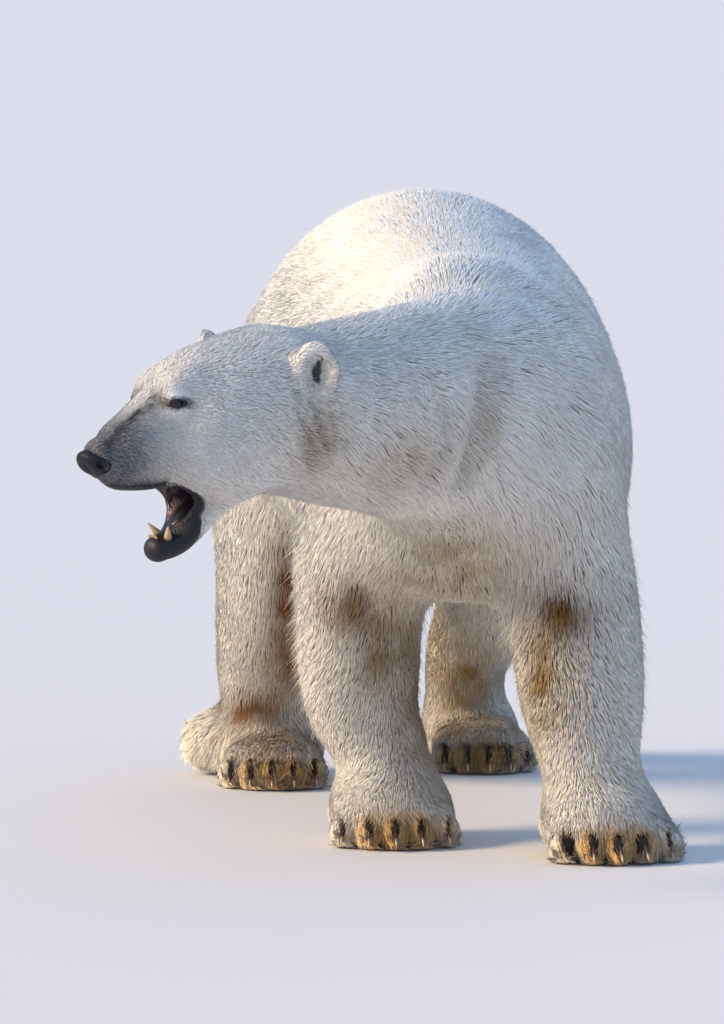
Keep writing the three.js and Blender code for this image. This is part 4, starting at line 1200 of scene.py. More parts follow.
class Coat:
    """Tufts all over the skin: thin, overlapping, pointed, and lying along the body."""

    SEED = 7
    BODY = Growth(3.95, 37, 2.3)
    NECK = Growth(3.5, 28, 1.9)
    UPPER_LEG = Growth(3.5, 25, 1.95)
    LOWER_LEG = Growth(2.95, 19, 1.55)
    FOOT = Growth(2.6, 22, 1.45)
    CHEEK = Growth(2.6, 18, 1.4)
    FACE = Growth(2.25, 12, 1.1)
    MUZZLE = Growth(2.1, 7.5, 0.9)
    EAR = Growth(2.2, 10, 1.1)
    TAIL = Growth(4.0, 24, 2.2)
    # Long wisps: their middle and radii, what share of the hair there is long, and how many times longer.
    WISPS = (
        ((-330, 600, 55), (80, 80, 65), 0.9, 2.2),          # right hind heel
        ((-255, -250, 300), (45, 70, 170), 0.16, 1.6),      # right foreleg, outer edge
        ((-70, -250, 270), (45, 70, 140), 0.14, 1.7),       # its inner edge
        ((200, 560, 260), (70, 100, 150), 0.20, 2.0),       # left hind leg
        ((-140, 420, 280), (50, 110, 160), 0.20, 1.9),      # right hind leg, inner edge
        ((250, -400, 330), (50, 80, 200), 0.14, 1.6),       # left foreleg, outer edge
        ((70, -420, 330), (45, 80, 130), 0.14, 1.7),        # its inner edge
        ((40, -200, 400), (150, 160, 50), 0.10, 1.6),       # chest and belly, below
        ((262, -505, 18), (60, 80, 30), 0.7, 1.5),          # left forefoot, outer edge
        ((-242, 380, 40), (95, 60, 45), 0.60, 1.5),         # right hind toes
        ((-120, -410, 50), (100, 45, 40), 0.55, 1.4),       # right forefoot's toes
        ((188, -615, 50), (100, 45, 40), 0.55, 1.4),        # left forefoot's toes
        ((112, 570, 50), (95, 45, 40), 0.60, 1.5),          # left hind toes
    )
    # Ruffled places, where the coat parts into locks and the sunken locks get painted shade: the middle, the
    # radii and how much.
    RUFFLES = (
        ((-280, -965, 670), (70, 60, 80), 1.0), ((-170, -860, 660), (110, 90, 80), 0.6),
        ((110, -485, 350), (70, 50, 90), 0.9), ((-60, -560, 470), (140, 100, 70), 0.5),
        ((-160, -360, 370), (70, 50, 70), 0.7), ((-262, 440, 110), (90, 100, 70), 0.7),
        ((-20, -740, 690), (60, 60, 110), 0.5), ((90, 630, 130), (80, 90, 110), 0.6),
        ((-120, -400, 52), (105, 50, 42), 0.8), ((188, -605, 52), (105, 50, 42), 0.8),
        ((112, 575, 52), (95, 50, 42), 0.8), ((-242, 385, 52), (95, 50, 42), 0.8),
    )
    # The stops between which the growth changes: height in metres on the legs, and forward on the head.
    LEG_STOPS = ((0.07, FOOT), (0.17, LOWER_LEG), (0.33, UPPER_LEG), (0.50, BODY))
    HEAD_STOPS = ((-800, BODY), (-500, NECK), (-330, CHEEK), (-190, FACE), (-70, MUZZLE))
    MIDDLE = 0.42                   # how far along a tuft its widest place is
    STRAYS = 0.045                  # the share of single thin hairs that stand out of the coat
    CARPET = 2.5 * MM               # no hair hangs lower
    SUNK_ROOT = 1.5 * MM            # how far under the skin a tuft begins
    # Painted shade at the root, and painted light at the tip.
    SHADES = (0.80, 0.97, 0.97, 1.06)       # of the root, the sides and the tip
    HAIRY = 0.35                    # the least hairiness where hair still grows
    # A tuft is a closed four-pointed sliver: root, left, right, tip.
    FACES = np.array([[0, 1, 2], [3, 2, 1], [0, 3, 1], [0, 2, 3]])
    # The tuft's corners on its patch of the map, which is 0.003 across.
    PATCH = np.array([[0, -0.5], [-0.5, 0.0], [0.5, 0.0], [0.0, 0.5]]) * 0.003

    def __init__(self, skin: Skin, lie: Lie) -> None:
        """Sows the roots over the skin."""
        self.random = np.random.default_rng(self.SEED)
        self.roots, self.normals = self.sow(skin)
        self.lie = lie.direction(self.roots, self.normals)

    def growth(self, points: Array) -> Array:
        """Spacing, length and width of the hair at points, in millimetres."""
        def between(places: Array, stops: Sequence[tuple[float, Growth]]) -> Array:
            """Growths between stops."""
            rows = np.stack([kind.row for _, kind in stops])
            return np.stack([np.interp(places, [at for at, _ in stops], column) for column in rows.T], 1)

        high, forward = points[:, 2], HEAD.coords(points)[:, 0]
        near = ease(-760, -640, forward) * (high > 0.42)
        value = mix(between(high, self.LEG_STOPS), between(forward, self.HEAD_STOPS), near)
        value = mix(value, self.TAIL.row, ease(0.03, 0.0, FORM.tail.distance(points)))
        for shell, _ in FORM.ears:
            value = mix(value, self.EAR.row, ease(0.012, 0.0, shell.distance(points)))
        value[:, 1] *= 1 - 0.5 * FORM.claw_gap(points - np.array([0, 0, 0.012]))
        value[:, 1] *= 0.35 + 0.65 * ease(10, 34, FORM.eye_distance(points) / MM)
        return value

    def sow(self, skin: Skin) -> tuple[Array, Array]:
        """Roots spread over the skin's triangles, as closely as the hair's spacing asks for."""
        corners = skin.vertices[skin.triangles]
        middle = corners.mean(axis=1)
        across = np.cross(corners[:, 1] - corners[:, 0], corners[:, 2] - corners[:, 0])
        area = 0.5 * np.linalg.norm(across, axis=1)
        spacing = in_blocks(self.growth, middle)[:, 0] * MM
        hairy = 1.0 - in_blocks(FORM.bare, middle) - in_blocks(FORM.claw_gap, middle)
        wanted = np.cumsum(area / spacing**2 * np.where(hairy > self.HAIRY, 1.0, 0.0))
        count = int(wanted[-1])
        marks = np.arange(count) + self.random.random(count)
        triangle = np.minimum(np.searchsorted(wanted, marks), len(wanted) - 1)
        u, v = self.random.random((2, count))
        flip = u + v > 1
        u, v = np.where(flip, 1 - u, u), np.where(flip, 1 - v, v)
        weights = np.stack([1 - u - v, u, v], 1)[:, :, None]
        roots = np.sum(corners[triangle] * weights, axis=1)
        normals = unit(np.sum(skin.normals[skin.triangles[triangle]] * weights, axis=1))
        return roots, normals

    def tufts(self) -> tuple[Array, Array, Array]:
        """The four points of every tuft, with their normals and tones.

        The middle of a tuft is laid about half way up the coat, and always a little over the straight line
        from its root to its tip; the tip is just under the coat's surface.
        """
        roots, normals, lie = self.roots, self.normals, self.lie
        count = len(roots)
        size = in_blocks(self.growth, roots) * MM
        clump = noise(roots, 0.013, 11)
        length = size[:, 1] * (1 + 0.22 * self.random.standard_normal(count).clip(-2, 2) + 0.12 * clump)
        width = size[:, 2] * (1 + 0.18 * self.random.standard_normal(count).clip(-2, 2))
        depth = np.maximum(in_blocks(FORM.depth, roots), 1.2 * MM)
        turn = 0.10 * self.random.standard_normal(count)
        side = np.cross(normals, lie)
        along = unit(lie + turn[:, None] * side)
        side = np.cross(normals, along)
        wisp, reach = self.wisps(roots)
        wild = self.random.random(count) < wisp
        stray = ~wild & (self.random.random(count) < self.STRAYS)
        length = np.where(wild, length * reach, length * np.where(stray, 1.15, 1.0))
        width = np.where(wild | stray, 0.55 * width, width)
        middle = roots + along * (self.MIDDLE * length)[:, None]
        laid = 0.34 + 0.12 * self.random.random(count)
        middle += normals * (-laid * depth - in_blocks(FORM.coat, middle))[:, None]
        sunk = (-0.02 + 0.16 * self.random.random(count) + 0.08 * clump).clip(-0.10, 0.4)
        rise = self.random.random(count)
        ruffles = [strength * bell(roots, place, radii) for place, radii, strength in self.RUFFLES]
        ruffle = np.max(ruffles, axis=0)
        lock = noise(roots, 0.010, 12)
        sunk += 0.5 * ruffle * lock
        sunk = np.where(stray, -0.10 - 0.30 * rise, sunk)
        sunk = np.where(wild, (-0.2 - 0.9 * rise) * reach**0.8, sunk)
        tip = roots + along * length[:, None]
        for _ in range(2):
            tip += normals * (-sunk * depth - in_blocks(FORM.coat, tip)).clip(-0.03, 0.03)[:, None]
        base = roots - normals * self.SUNK_ROOT
        straight = base + self.MIDDLE * (tip - base)
        lift = np.sum((straight - middle) * normals, axis=1) + 0.15 * width
        middle += normals * np.maximum(lift, 0)[:, None]
        half = side * (0.5 * width)[:, None]
        points = np.stack([base, middle - half, middle + half, tip], axis=1)
        points[:, :, 2] = np.maximum(points[:, :, 2], self.CARPET)
        directions = unit(np.stack([
            normals - 0.2 * along, normals - 0.35 * side, normals + 0.35 * side, normals + 0.15 * along,
        ], axis=1))
        tone = MARKS.coat(roots)
        forward, _, up = HEAD.coords(roots).T
        speckle = 1 + 1.6 * ease(-170, -60, forward) * ease(60, 20, up)
        own = 1 + speckle * (0.085 * self.random.standard_normal(count).clip(-2, 2) + 0.04 * clump)
        # Painted shade on the sunken locks of ruffled places.
        own *= 1 - 0.22 * ruffle * lock.clip(0, 1)
        # Painted shade along the folds, at each of the tuft's four points.
        folds = in_blocks(MARKS.fold_shade, points.reshape(-1, 3)).reshape(count, 4)
        shade = np.array(self.SHADES) * (1 - 0.62 * folds)
        tones = np.clip(tone[:, None, :] * own[:, None, None] * shade[:, :, None], 0, 0.97)
        return points, directions, tones

    def wisps(self, points: Array) -> tuple[Array, Array]:
        """What share of the hair at points hangs out in thin wisps, and how many times longer it is."""
        share, reach = np.zeros(len(points)), np.ones(len(points))
        for middle, radii, part, times in self.WISPS:
            weight = bell(points, middle, radii)
            share = np.maximum(share, part * weight)
            reach = np.maximum(reach, 1 + (times - 1) * np.minimum(1.0, 1.5 * weight))
        return share, reach

    def region(self, points: Array) -> Array:
        """The number of each root's region in Region."""
        names = list(Region)
        left = points[:, 0] > 0
        high, along = points[:, 2], points[:, 1]

        def pick(a: Region, b: Region, first: Array) -> Array:
            """The number of a where first, otherwise of b."""
            return np.where(first, names.index(a), names.index(b))

        number = pick(Region.RUMP_LEFT, Region.RUMP_RIGHT, left)
        number = np.where(along < 0.24, pick(Region.BELLY_LEFT, Region.BELLY_RIGHT, left), number)
        number = np.where(along < -0.18, pick(Region.CHEST_LEFT, Region.CHEST_RIGHT, left), number)
        neck = FORM.neck.distance(points) < FORM.trunk.distance(points)
        number = np.where(neck & (along < -0.40), names.index(Region.NECK), number)
        legs = np.stack([leg.distance(points) for leg in FORM.legs], 1)
        leg_numbers = [names.index(r) for r in (
            Region.FORELEG_LEFT, Region.FORELEG_RIGHT, Region.HINDLEG_LEFT, Region.HINDLEG_RIGHT)]
        number = np.where(high < 0.43, np.array(leg_numbers)[np.argmin(legs, axis=1)], number)
        number = np.where(high < 0.10, pick(Region.FOREPAWS, Region.HINDPAWS, along < 0.1), number)
        coords = HEAD.coords(points)
        heads = pick(Region.HEAD_LEFT, Region.HEAD_RIGHT, coords[:, 1] > 0)
        return np.where(coords[:, 0] > -410, heads, number)

    def chart(self, region: Region, points: Array) -> Array:
        """Where each root lies on an unwrap of the skin: round and along its limb; feet lie side by side."""
        limbs = {"NECK": FORM.neck, "HEAD": FORM.skull}
        limbs |= {leg.name.upper(): limb for leg, limb in zip(LEGS, FORM.legs)}
        if region in (Region.FOREPAWS, Region.HINDPAWS):
            left, right = LEGS[:2] if region is Region.FOREPAWS else LEGS[2:]
            to_left, to_right = (np.abs(points[:, 0] - leg.foot.middle[0] * MM) for leg in (left, right))
            first = to_left < to_right
            place = np.where(first[:, None], left.foot.coords(points), right.foot.coords(points))
            under = points[:, 2] < 0.02
            chart = np.stack([place[:, 1] + 400 * first, place[:, 0] + 600 * under], 1)
        else:
            limb = next((v for k, v in limbs.items() if region.name.startswith(k)), FORM.trunk)
            chart = limb.chart(points)
            for shell, _ in FORM.ears if limb is FORM.skull else ():
                on_ear = shell.distance(points) < 0.004
                out, across, up = ((points - shell.centre) @ shell.axes.T).T
                island = np.stack([0.5 + 3 * across, 1.15 + 3 * up + 0.3 * (out > 0)], 1)
                chart = np.where(on_ear[:, None], island, chart)
        low, high = chart.min(axis=0), chart.max(axis=0)
        return 0.004 + 0.992 * (chart - low) / np.maximum(high - low, 1e-6)

    def build(self, material: bpy.types.Material) -> None:
        """Makes one piece for each region."""
        points, directions, tones = self.tufts()
        regions = in_blocks(self.region, self.roots)
        for number, region in enumerate(Region):
            chosen = np.flatnonzero(regions == number)
            faces = (np.arange(len(chosen))[:, None, None] * 4 + self.FACES).reshape(-1, 3)
            uv = self.chart(region, self.roots[chosen])[:, None, :] + self.PATCH
            slot = "paw_coat" if region in (Region.FOREPAWS, Region.HINDPAWS) else "coat"
            make_piece(
                region.value, slot, points[chosen].reshape(-1, 3), faces, tones[chosen].reshape(-1, 3),
                material, normals=directions[chosen].reshape(-1, 3), uv=uv.reshape(-1, 2))


# ---------------------------------------------------------------------------------------------- small parts
def tube(rings: Array, closed: bool = True) -> tuple[Array, Array]:
    """A skin over rings of points: quads between rings, written as triangles, and a fan on each end.

    Args:
        rings: an array of rings by points by 3, each ring turning left seen from ahead.
        closed: whether the ends get their fans.

    Returns:
        The vertices and the triangles.
    """
    count, around, _ = rings.shape
    number = np.arange(count * around).reshape(count, around)
    a, b = number[:-1], np.roll(number[:-1], -1, axis=1)
    c, d = np.roll(number[1:], -1, axis=1), number[1:]
    faces = [np.stack([a, b, c], -1).reshape(-1, 3), np.stack([a, c, d], -1).reshape(-1, 3)]
    vertices = [rings.reshape(-1, 3)]
    total = count * around
    for ring, flip in ((0, True), (count - 1, False)) if closed else ():
        vertices.append(rings[ring].mean(axis=0, keepdims=True))
        fan = np.stack([number[ring], np.roll(number[ring], -1), np.full(around, total)], -1)
        faces.append(fan[:, ::-1] if flip else fan)
        total += 1
    return np.vstack(vertices), np.vstack(faces)


def merge(parts: Sequence[tuple[Array, Array]]) -> tuple[Array, Array]:
    """Several meshes as one."""
    starts = np.cumsum([0] + [len(v) for v, _ in parts[:-1]])
    return np.vstack([v for v, _ in parts]), np.vstack([f + s for (_, f), s in zip(parts, starts)])


def globe(rows: int, around: int, margin: float) -> tuple[Array, Array]:
    """A grid of polar angles, a margin short of both poles, and of angles round the axis."""
    polar = np.linspace(margin, math.pi - margin, rows)
    return tuple(np.meshgrid(polar, np.linspace(0, 2 * math.pi, around, endpoint=False), indexing="ij"))


@dataclass(frozen=True)
class Spike:
    """A claw or a tooth: oval sections that shrink to a rounded point and bend, in bear-frame millimetres."""

    base: Array
    ahead: Array
    bend: Array
    length: float
    droop: float
    radius: float
    flatness: float = 1.0           # width against height
    blunt: float = 0.6

    def mesh(self, rings: int, around: int) -> tuple[Array, Array]:
        """The spike's skin, as vertices in metres and triangles.

        At t from 0 to 1 the section has the radius times (1 - t) to the power `blunt`, and is carried off by
        the droop times t squared.
        """
        t = np.linspace(0.0, 0.995, rings) ** 0.85
        straight = np.outer(self.length * t, self.ahead)
        middle = self.base + straight + np.outer(self.droop * t * t, self.bend)
        level = np.outer(np.full(rings, self.length), self.ahead)
        along = unit(level + np.outer(2 * self.droop * t, self.bend))
        across = unit(np.cross(self.ahead, self.bend))
        upward = unit(np.cross(along, across))
        angle = np.linspace(0, 2 * math.pi, around, endpoint=False)
        size = self.radius * (1 - t) ** self.blunt
        ring = (
            middle[:, None, :]
            + (size[:, None] * np.cos(angle) * self.flatness)[:, :, None] * across
            + (size[:, None] * np.sin(angle))[:, :, None] * upward[:, None, :]
        )
        vertices, faces = tube(ring * MM)
        return vertices, outward(vertices, faces)


def outward(vertices: Array, faces: Array) -> Array:
    """The faces of a closed mesh, turned over if its volume comes out below zero."""
    a, b, c = (vertices[faces[:, i]] for i in range(3))
    return faces if np.sum(a * np.cross(b, c)) > 0 else faces[:, ::-1]


def spiked(
    spikes: Sequence[Spike], around: int, root: str, bands: Sequence[tuple[str, float, float]]
) -> tuple[Array, Array, Array]:
    """Claws or teeth as one mesh, whose tone changes along each of them.

    Args:
        spikes: the claws or teeth.
        around: how many points each section has, and how many sections each spike.
        root: the hex colour at their roots.
        bands: a hex colour with where, along the spike, it begins and is reached.

    Returns:
        The vertices, the triangles and the vertices' tones.
    """
    meshes = [spike.mesh(around, around) for spike in spikes]
    tones = []
    for spike, (vertices, _) in zip(spikes, meshes):
        t = np.clip((vertices / MM - spike.base) @ spike.ahead / spike.length, 0, 1)
        tone = plain(root, len(t))
        for colour, start, end in bands:
            tone = tint(tone, colour, ease(start, end, t))
        tones.append(tone)
    return *merge(meshes), np.vstack(tones)


class Claws:
    """Five claws on each foot."""

    LENGTH, RADIUS, DROOP = 34.0, 7.0, 12.0
    ROOT, SHAFT, TIP = "#1c0c0a", "#4b1d13", "#c0a27c"

    def build(self, material: bpy.types.Material) -> None:
        """Makes one piece for each foot's claws; each claw curves from its toe down to the ground."""
        for leg in LEGS:
            paw = leg.name.replace("foreleg", "forepaw").replace("hindleg", "hindpaw")
            spikes = [self.claw(leg.foot, toe) for toe in range(leg.foot.toes)]
            mesh = spiked(spikes, 14, self.ROOT, ((self.SHAFT, 0.2, 0.6), (self.TIP, 0.66, 0.95)))
            nodes = [f"claw_{paw}_{toe + 1}" for toe in range(leg.foot.toes)]
            make_piece(f"claws_{paw}", "claw_horn", *mesh, material, nodes)

    def claw(self, foot: Foot, toe: int) -> Spike:
        """A claw: its base inside the toe, level at first, then curving down."""
        t = foot.spread(toe)
        base = np.array(foot.toe_tip(toe, 31, past=6))
        ahead = np.array(foot.place(1, t * 0.18, 0)) - np.array(foot.place(0, 0, 0)) - np.array([0, 0, 0.35])
        down = np.array([0, 0, -1.0])
        return Spike(
            base, unit(ahead), down, self.LENGTH, self.DROOP, self.RADIUS, flatness=0.72, blunt=0.62)


class Mouth:
    """The teeth and the tongue; the lining is part of the skin."""

    IVORY, ROOT, TONGUE = "#cfae7e", "#94643c", "#160d12"
    # The lower canines, on the head: the root, the tip, the bend and the radius, in millimetres.
    CANINES = (
        ((-118, 14, -150), (-117, 20, -128), 1.5, 8.2),
        ((-129, -11, -153), (-109, -20, -123), 2.5, 9.0),
    )

    def build(self, tooth: bpy.types.Material, tongue: bpy.types.Material) -> None:
        """Makes the lower canines and incisors, and the tongue."""
        spikes = []
        for root, point, bend, radius in self.CANINES:
            base, tip = HEAD.place(*root), HEAD.place(*point)
            step = tip - base
            length = float(np.linalg.norm(step)) + 1
            spikes.append(Spike(base, unit(step), -AHEAD, length, bend, radius, blunt=0.75))
        for side in SIDES.values():
            for place in (3, 8):
                root = HEAD.place(-104, side * place, -145)
                spikes.append(Spike(root, unit(0.9 * UP + 0.4 * AHEAD), -AHEAD, 9, 1, 2.2, blunt=0.3))
            for number in range(4):
                root = HEAD.place(-150 - 13 * number, side * (27 + 2 * number), -139 + 8 * number)
                spikes.append(Spike(root, UP, LEFT, 8 + number, 0.5, 3.2, blunt=0.7))
        make_piece("lower_teeth", "tongue", *spiked(spikes, 10, self.ROOT, ((self.IVORY, 0.1, 0.6),)), tooth)
        self.tongue(tongue)

    def tongue(self, material: bpy.types.Material) -> None:
        """An ellipsoid along the mouth, with a groove down it: its height loses a bell of the width."""
        lengthways, around = globe(40, 40, 0.02)
        a = 38 * np.cos(lengthways)
        b = 20 * np.sin(lengthways) * np.cos(around)
        c = 7 * np.sin(lengthways) * np.sin(around)
        c = c - 2.2 * np.exp(-((b / 4) ** 2)) * (np.sin(around) > 0) * np.sin(lengthways)
        offsets = np.stack([a, b, c], -1) @ FORM.mouth_axes
        vertices, faces = tube((HEAD.place(-169, 0, -116) + offsets) * MM)
        faces = outward(vertices, faces)
        make_piece(
            "tongue_wet", "tongue", vertices, faces, plain(self.TONGUE, len(vertices)), material, ["tongue"])


class Eyes:
    """The eyeballs, with a bulging cornea, and the lids round them."""

    RADIUS = BearForm.EYE_RADIUS
    CORNEA = 1.2
    OPENING = (10.6, 4.3, 3.4)       # half width, half heights above and below, mm
    PUPIL, IRIS, LIMBUS, WHITE, LID = "#060406", "#33100f", "#150808", "#2c1715", "#1b1615"
    # The lids' rings: how far out from the opening, how high over the ball, and beyond the lids' thick edge
    # how high over the hide, in millimetres.
    RINGS = (
        (-0.6, -1.2, None), (0.0, 0.15, None), (0.35, 0.8, None), (0.9, 1.3, None),
        (1.7, None, 0.5), (2.8, None, -0.3), (4.2, None, -1.5),
    )

    def axes(self, side: int) -> Array:
        """The eye's gaze, its long axis towards the nose, and up."""
        gaze = unit(0.45 * AHEAD + 0.87 * side * LEFT + 0.15 * UP)
        long = unit(0.98 * AHEAD + 0.19 * UP)
        long = unit(long - (long @ gaze) * gaze)
        high = np.cross(gaze, long)
        return np.stack([gaze, long, high if high @ UP > 0 else -high])

    def build(self, eye: bpy.types.Material, lid: bpy.types.Material) -> None:
        """Makes both eyeballs and both pairs of lids."""
        for name, side in SIDES.items():
            middle, axes = HEAD.place(FORM.EYE[0], side * FORM.EYE[1], FORM.EYE[2]), self.axes(side)
            self.ball(name, middle, axes, eye)
            self.lids(name, middle, axes, lid)

    def ball(self, name: str, middle: Array, axes: Array, material: bpy.types.Material) -> None:
        """A sphere that bulges within 38° of the gaze, by the cornea's height times an ease of the angle."""
        polar, around = globe(72, 64, 0.01)
        radius = self.RADIUS + self.CORNEA * ease(math.radians(38), 0.0, polar)
        wide = radius * np.sin(polar)
        local = np.stack([radius * np.cos(polar), wide * np.cos(around), wide * np.sin(around)], -1)
        vertices, faces = tube((middle + local @ axes) * MM)
        angle = np.degrees(np.arccos(np.clip(unit(vertices / MM - middle) @ axes[0], -1, 1)))
        fibres = 0.5 + 0.5 * noise(vertices, 0.0012, 31)
        iris = np.clip(linear(self.IRIS) * (0.75 + 0.5 * fibres)[:, None], 0, 1)
        tones = np.where((angle > 11)[:, None], iris, linear(self.PUPIL))
        tones = tint(tones, self.LIMBUS, ease(30, 35, angle))
        tones = tint(tones, self.WHITE, ease(40, 48, angle))
        faces = outward(vertices, faces)
        make_piece(f"eyeball_{name}", "eye", vertices, faces, tones, material, [f"eye_{name}"])

    def lids(self, name: str, middle: Array, axes: Array, material: bpy.types.Material) -> None:
        """Rings round the opening: an almond, whose half height is drawn out thinner towards the corners.

        From the inner edge, which touches the ball, the rings climb over the lids' thickness and then run out
        to sink into the skin, which is found along the gaze by Newton's steps.
        """
        around = np.linspace(0, 2 * math.pi, 64, endpoint=False)
        wide, above, below = self.OPENING
        half = np.where(np.sin(around) > 0, above, below)
        almond = np.stack([wide * np.cos(around), half * np.sin(around) * np.abs(np.sin(around)) ** 0.25], -1)
        outward_2d = unit(np.stack([np.cos(around) / wide, np.sin(around) / half], -1))
        rings = []
        for out, lift, sink in self.RINGS:
            flat = almond + out * outward_2d
            within = np.minimum(np.sum(flat**2, axis=1), (self.RADIUS - 0.4) ** 2)
            on_ball = np.sqrt(self.RADIUS**2 - within)
            hide = self.skin_height(middle, axes, flat)
            if lift is None:
                height = hide + sink
            else:
                height = np.maximum(on_ball + lift, hide + lift - 1.3) if out > 0 else on_ball + lift
            local = np.stack([height, flat[:, 0], flat[:, 1]], -1)
            rings.append((middle + local @ axes) * MM)
        vertices, faces = tube(np.stack(rings), closed=False)
        faces = self.facing(vertices, faces, axes[0])
        make_piece(f"eyelids_{name}", "lips", vertices, faces, plain(self.LID, len(vertices)), material)

    @staticmethod
    def facing(vertices: Array, faces: Array, gaze: Array) -> Array:
        """The faces of an open ring, turned so that most of them face along the gaze."""
        a, b, c = (vertices[faces[:, i]] for i in range(3))
        return faces if np.sum(np.cross(b - a, c - a) @ gaze) > 0 else faces[:, ::-1]

    @staticmethod
    def skin_height(middle: Array, axes: Array, flat: Array) -> Array:
        """How far along the gaze the hide lies, at offsets across it, without the eye's own socket."""
        height = np.full(len(flat), 8.0)

        def hide(points: Array) -> Array:
            """The hide's level."""
            return FORM.coat(points) + 0.5 * MM

        for _ in range(8):
            local = np.stack([height, flat[:, 0], flat[:, 1]], -1)
            points = (middle + local @ axes) * MM
            value = hide(points)
            rate = (hide(points + axes[0] * 0.5 * MM) - value) / (0.5 * MM)
            height = height - np.clip(value / MM / np.maximum(rate, 0.3), -3, 3)
        return height


class Nose:
    """The nose pad: flat on top, with comma-shaped nostrils and a groove below."""

    CELL = 1.1 * MM
    REACH = np.array([0.042, 0.042, 0.036])         # m, half the box that holds it
    LEATHER = "#0b0c11"

    def __init__(self) -> None:
        """Places the pad and everything carved from it."""
        def ball(at: tuple[float, float, float], radii: tuple[float, float, float]) -> Ball:
            """An ellipsoid on the head."""
            return Ball(HEAD.place(*at), radii, HEAD.axes)

        self.pad = ball((-26, 0, -7), (31, 27, 23))
        self.wings = [ball((-27, s * 16, -10), (19, 13, 15)) for s in (1, -1)]
        self.nostrils = [ball((-19, s * 24, -9), (7, 5, 5)) for s in (1, -1)]
        self.slits = [ball((-25, s * 28, -15), (4.5, 8, 12)) for s in (1, -1)]
        self.groove = ball((-4, 0, -22), (9, 1.3, 16))

    def field(self, points: Array) -> Array:
        """The pad and its wings, cut flat on top and in front, less the nostrils, slits and groove."""
        d = self.pad.distance(points)
        for wing in self.wings:
            d = blend(d, wing.distance(points), 6 * MM)
        forward, _, up = HEAD.coords(points).T
        d = carve(d, FORM.hairline(points) * 0.8 * MM, 5 * MM)
        d = carve(d, (forward - 0.5 * (up - 4)) * 0.9 * MM, 8 * MM)
        for hollow in self.nostrils:
            d = carve(d, -hollow.distance(points), 3 * MM)
        for hollow in (*self.slits, self.groove):
            d = carve(d, -hollow.distance(points), 2 * MM)
        return d

    def build(self, material: bpy.types.Material) -> None:
        """Makes the nose from its zero surface."""
        middle = FORM.nose_pad.centre
        vertices, quads = level_surface(self.field, middle - self.REACH, middle + self.REACH, self.CELL)
        vertices = settle(self.field, vertices, 1.5 * MM)
        tones = linear(self.LEATHER) * (1 + 0.35 * noise(vertices, 0.004, 41))[:, None]
        make_piece("nose_leather", "nose_skin", vertices, quads, tones, material, ["nose"])


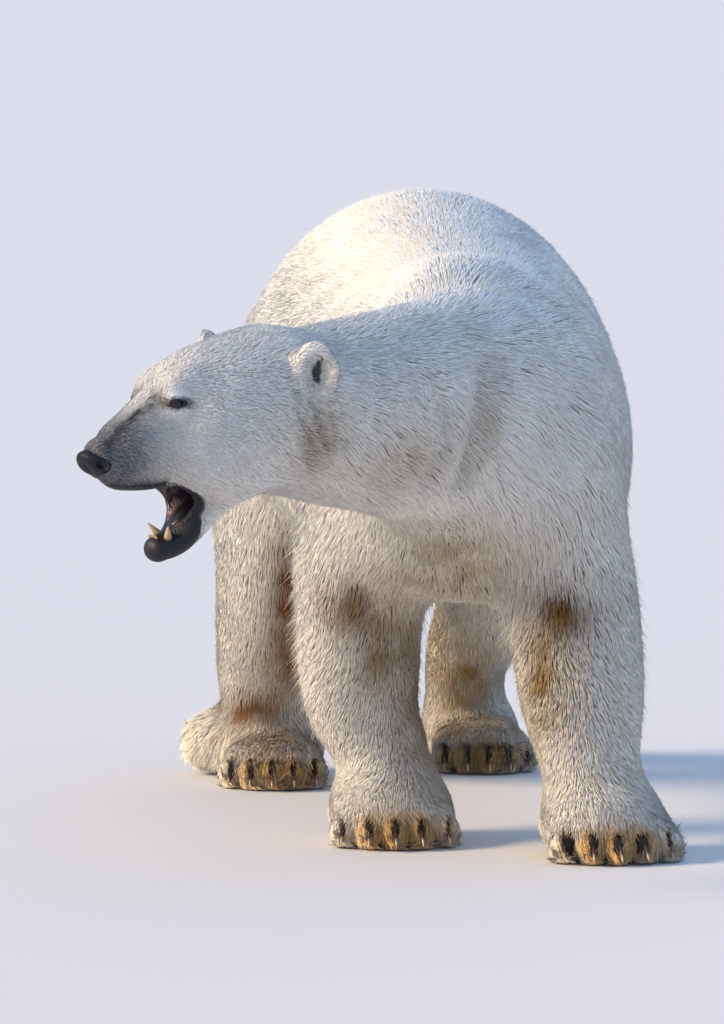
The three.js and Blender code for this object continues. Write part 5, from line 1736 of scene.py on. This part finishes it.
# ---------------------------------------------------------------------------------------------- the studio
@dataclass(frozen=True)
class Studio:
    """A pale floor, a low warm key light, a cool soft sky and the camera, in metres in the bear's frame."""

    eye: tuple[float, float, float] = (-1.233, -12.490, 1.56)
    look: tuple[float, float, float] = (0.0868, 0.9926, -0.0854)
    lens: float = 280.5
    sensor: float = 36.0
    floor_size: float = 300.0
    floor_colour: str = "#dddad6"
    sun_from: tuple[float, float, float] = (-0.87, -0.11, 0.47)
    sun_strength: float = 4.0
    sun_softness: float = 20.0      # degrees
    sun_colour: str = "#ffe6c6"
    sky_colour: str = "#a7c4ee"
    sky_strength: float = 0.83
    glow_from: tuple[float, float, float] = (0.75, 0.35, 0.56)
    glow_strength: float = 0.95
    glow_softness: float = 120.0    # degrees
    clip_end: float = 500.0

    def build(self) -> None:
        """Makes the floor, the lights and the camera."""
        scene = bpy.context.scene
        scene.view_settings.view_transform = "Standard"
        half = self.floor_size / 2
        mesh = bpy.data.meshes.new("studio_floor")
        corners = [(-half, -half, 0), (half, -half, 0), (half, half, 0), (-half, half, 0)]
        mesh.from_pydata(corners, [], [(0, 1, 2, 3)])
        floor = bpy.data.objects.new("studio_floor", mesh)
        scene.collection.objects.link(floor)
        paint = bpy.data.materials.new("matt pale floor paint")
        paint.use_nodes = True
        shader = paint.node_tree.nodes["Principled BSDF"]
        shader.inputs["Base Color"].default_value = (*linear(self.floor_colour), 1)
        shader.inputs["Roughness"].default_value = 0.9
        mesh.materials.append(paint)
        world = bpy.data.worlds.new("soft sky")
        world.use_nodes = True
        background = world.node_tree.nodes["Background"]
        background.inputs["Color"].default_value = (*linear(self.sky_colour), 1)
        background.inputs["Strength"].default_value = self.sky_strength
        scene.world = world
        self.sun("key", self.sun_strength, self.sun_softness, self.sun_colour, self.sun_from)
        self.sun("open sky", self.glow_strength, self.glow_softness, self.sky_colour, self.glow_from)
        camera = bpy.data.objects.new("camera", bpy.data.cameras.new("camera"))
        camera.data.lens, camera.data.sensor_width = self.lens, self.sensor
        camera.data.clip_end = self.clip_end
        scene.collection.objects.link(camera)
        self.aim(camera, np.array(self.eye) + SHIFT, np.array(self.look))
        scene.camera = camera

    def sun(self, name: str, strength: float, softness: float, colour: str, source: Sequence[float]) -> None:
        """Adds a sun lamp that shines from a direction, with a softness in degrees."""
        lamp = bpy.data.lights.new(name, "SUN")
        lamp.energy, lamp.angle, lamp.color = strength, math.radians(softness), tuple(linear(colour))
        thing = bpy.data.objects.new(name, lamp)
        bpy.context.scene.collection.objects.link(thing)
        self.aim(thing, np.array(source) * 5, -np.array(source))

    @staticmethod
    def aim(thing: bpy.types.Object, place: Array, direction: Array) -> None:
        """Puts a camera or lamp at a place, looking along a direction, upright."""
        back = -unit(direction)
        right = unit(np.cross((0, 0, 1), back))
        up = np.cross(back, right)
        matrix = np.eye(4)
        matrix[:3, :3] = np.stack([right, up, back], 1)
        matrix[:3, 3] = place
        thing.matrix_world = Matrix(matrix.tolist())


FLESH = [
    "trunk_chest", "trunk_belly", "trunk_rump", "neck", "tail", "head", "lower_jaw", "ear_left", "ear_right",
    *(f"{leg.name}_{part}" for leg in LEGS for part in ("upper", "lower")),
    *(f"{foot}_{side}" for foot in ("forepaw", "hindpaw") for side in SIDES),
]


def main() -> None:
    """Builds the bear's pieces in order, and then the studio."""
    logging.basicConfig(level=logging.INFO, format="%(name)s: %(message)s")
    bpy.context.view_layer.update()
    skin = Skin()
    colour, wet = MARKS.skin(skin.vertices)
    make_piece("skin", "coat", skin.vertices, skin.triangles, colour, HIDE.build(), FLESH, wet=wet)
    Coat(skin, Lie()).build(GUARD_HAIR.build())
    Eyes().build(WET_EYE.build(), LID_SKIN.build())
    Nose().build(NOSE_LEATHER.build())
    Mouth().build(ENAMEL.build(), TONGUE_SKIN.build())
    Claws().build(CLAW_HORN.build())
    Studio().build()


if __name__ == "__main__":
    main()
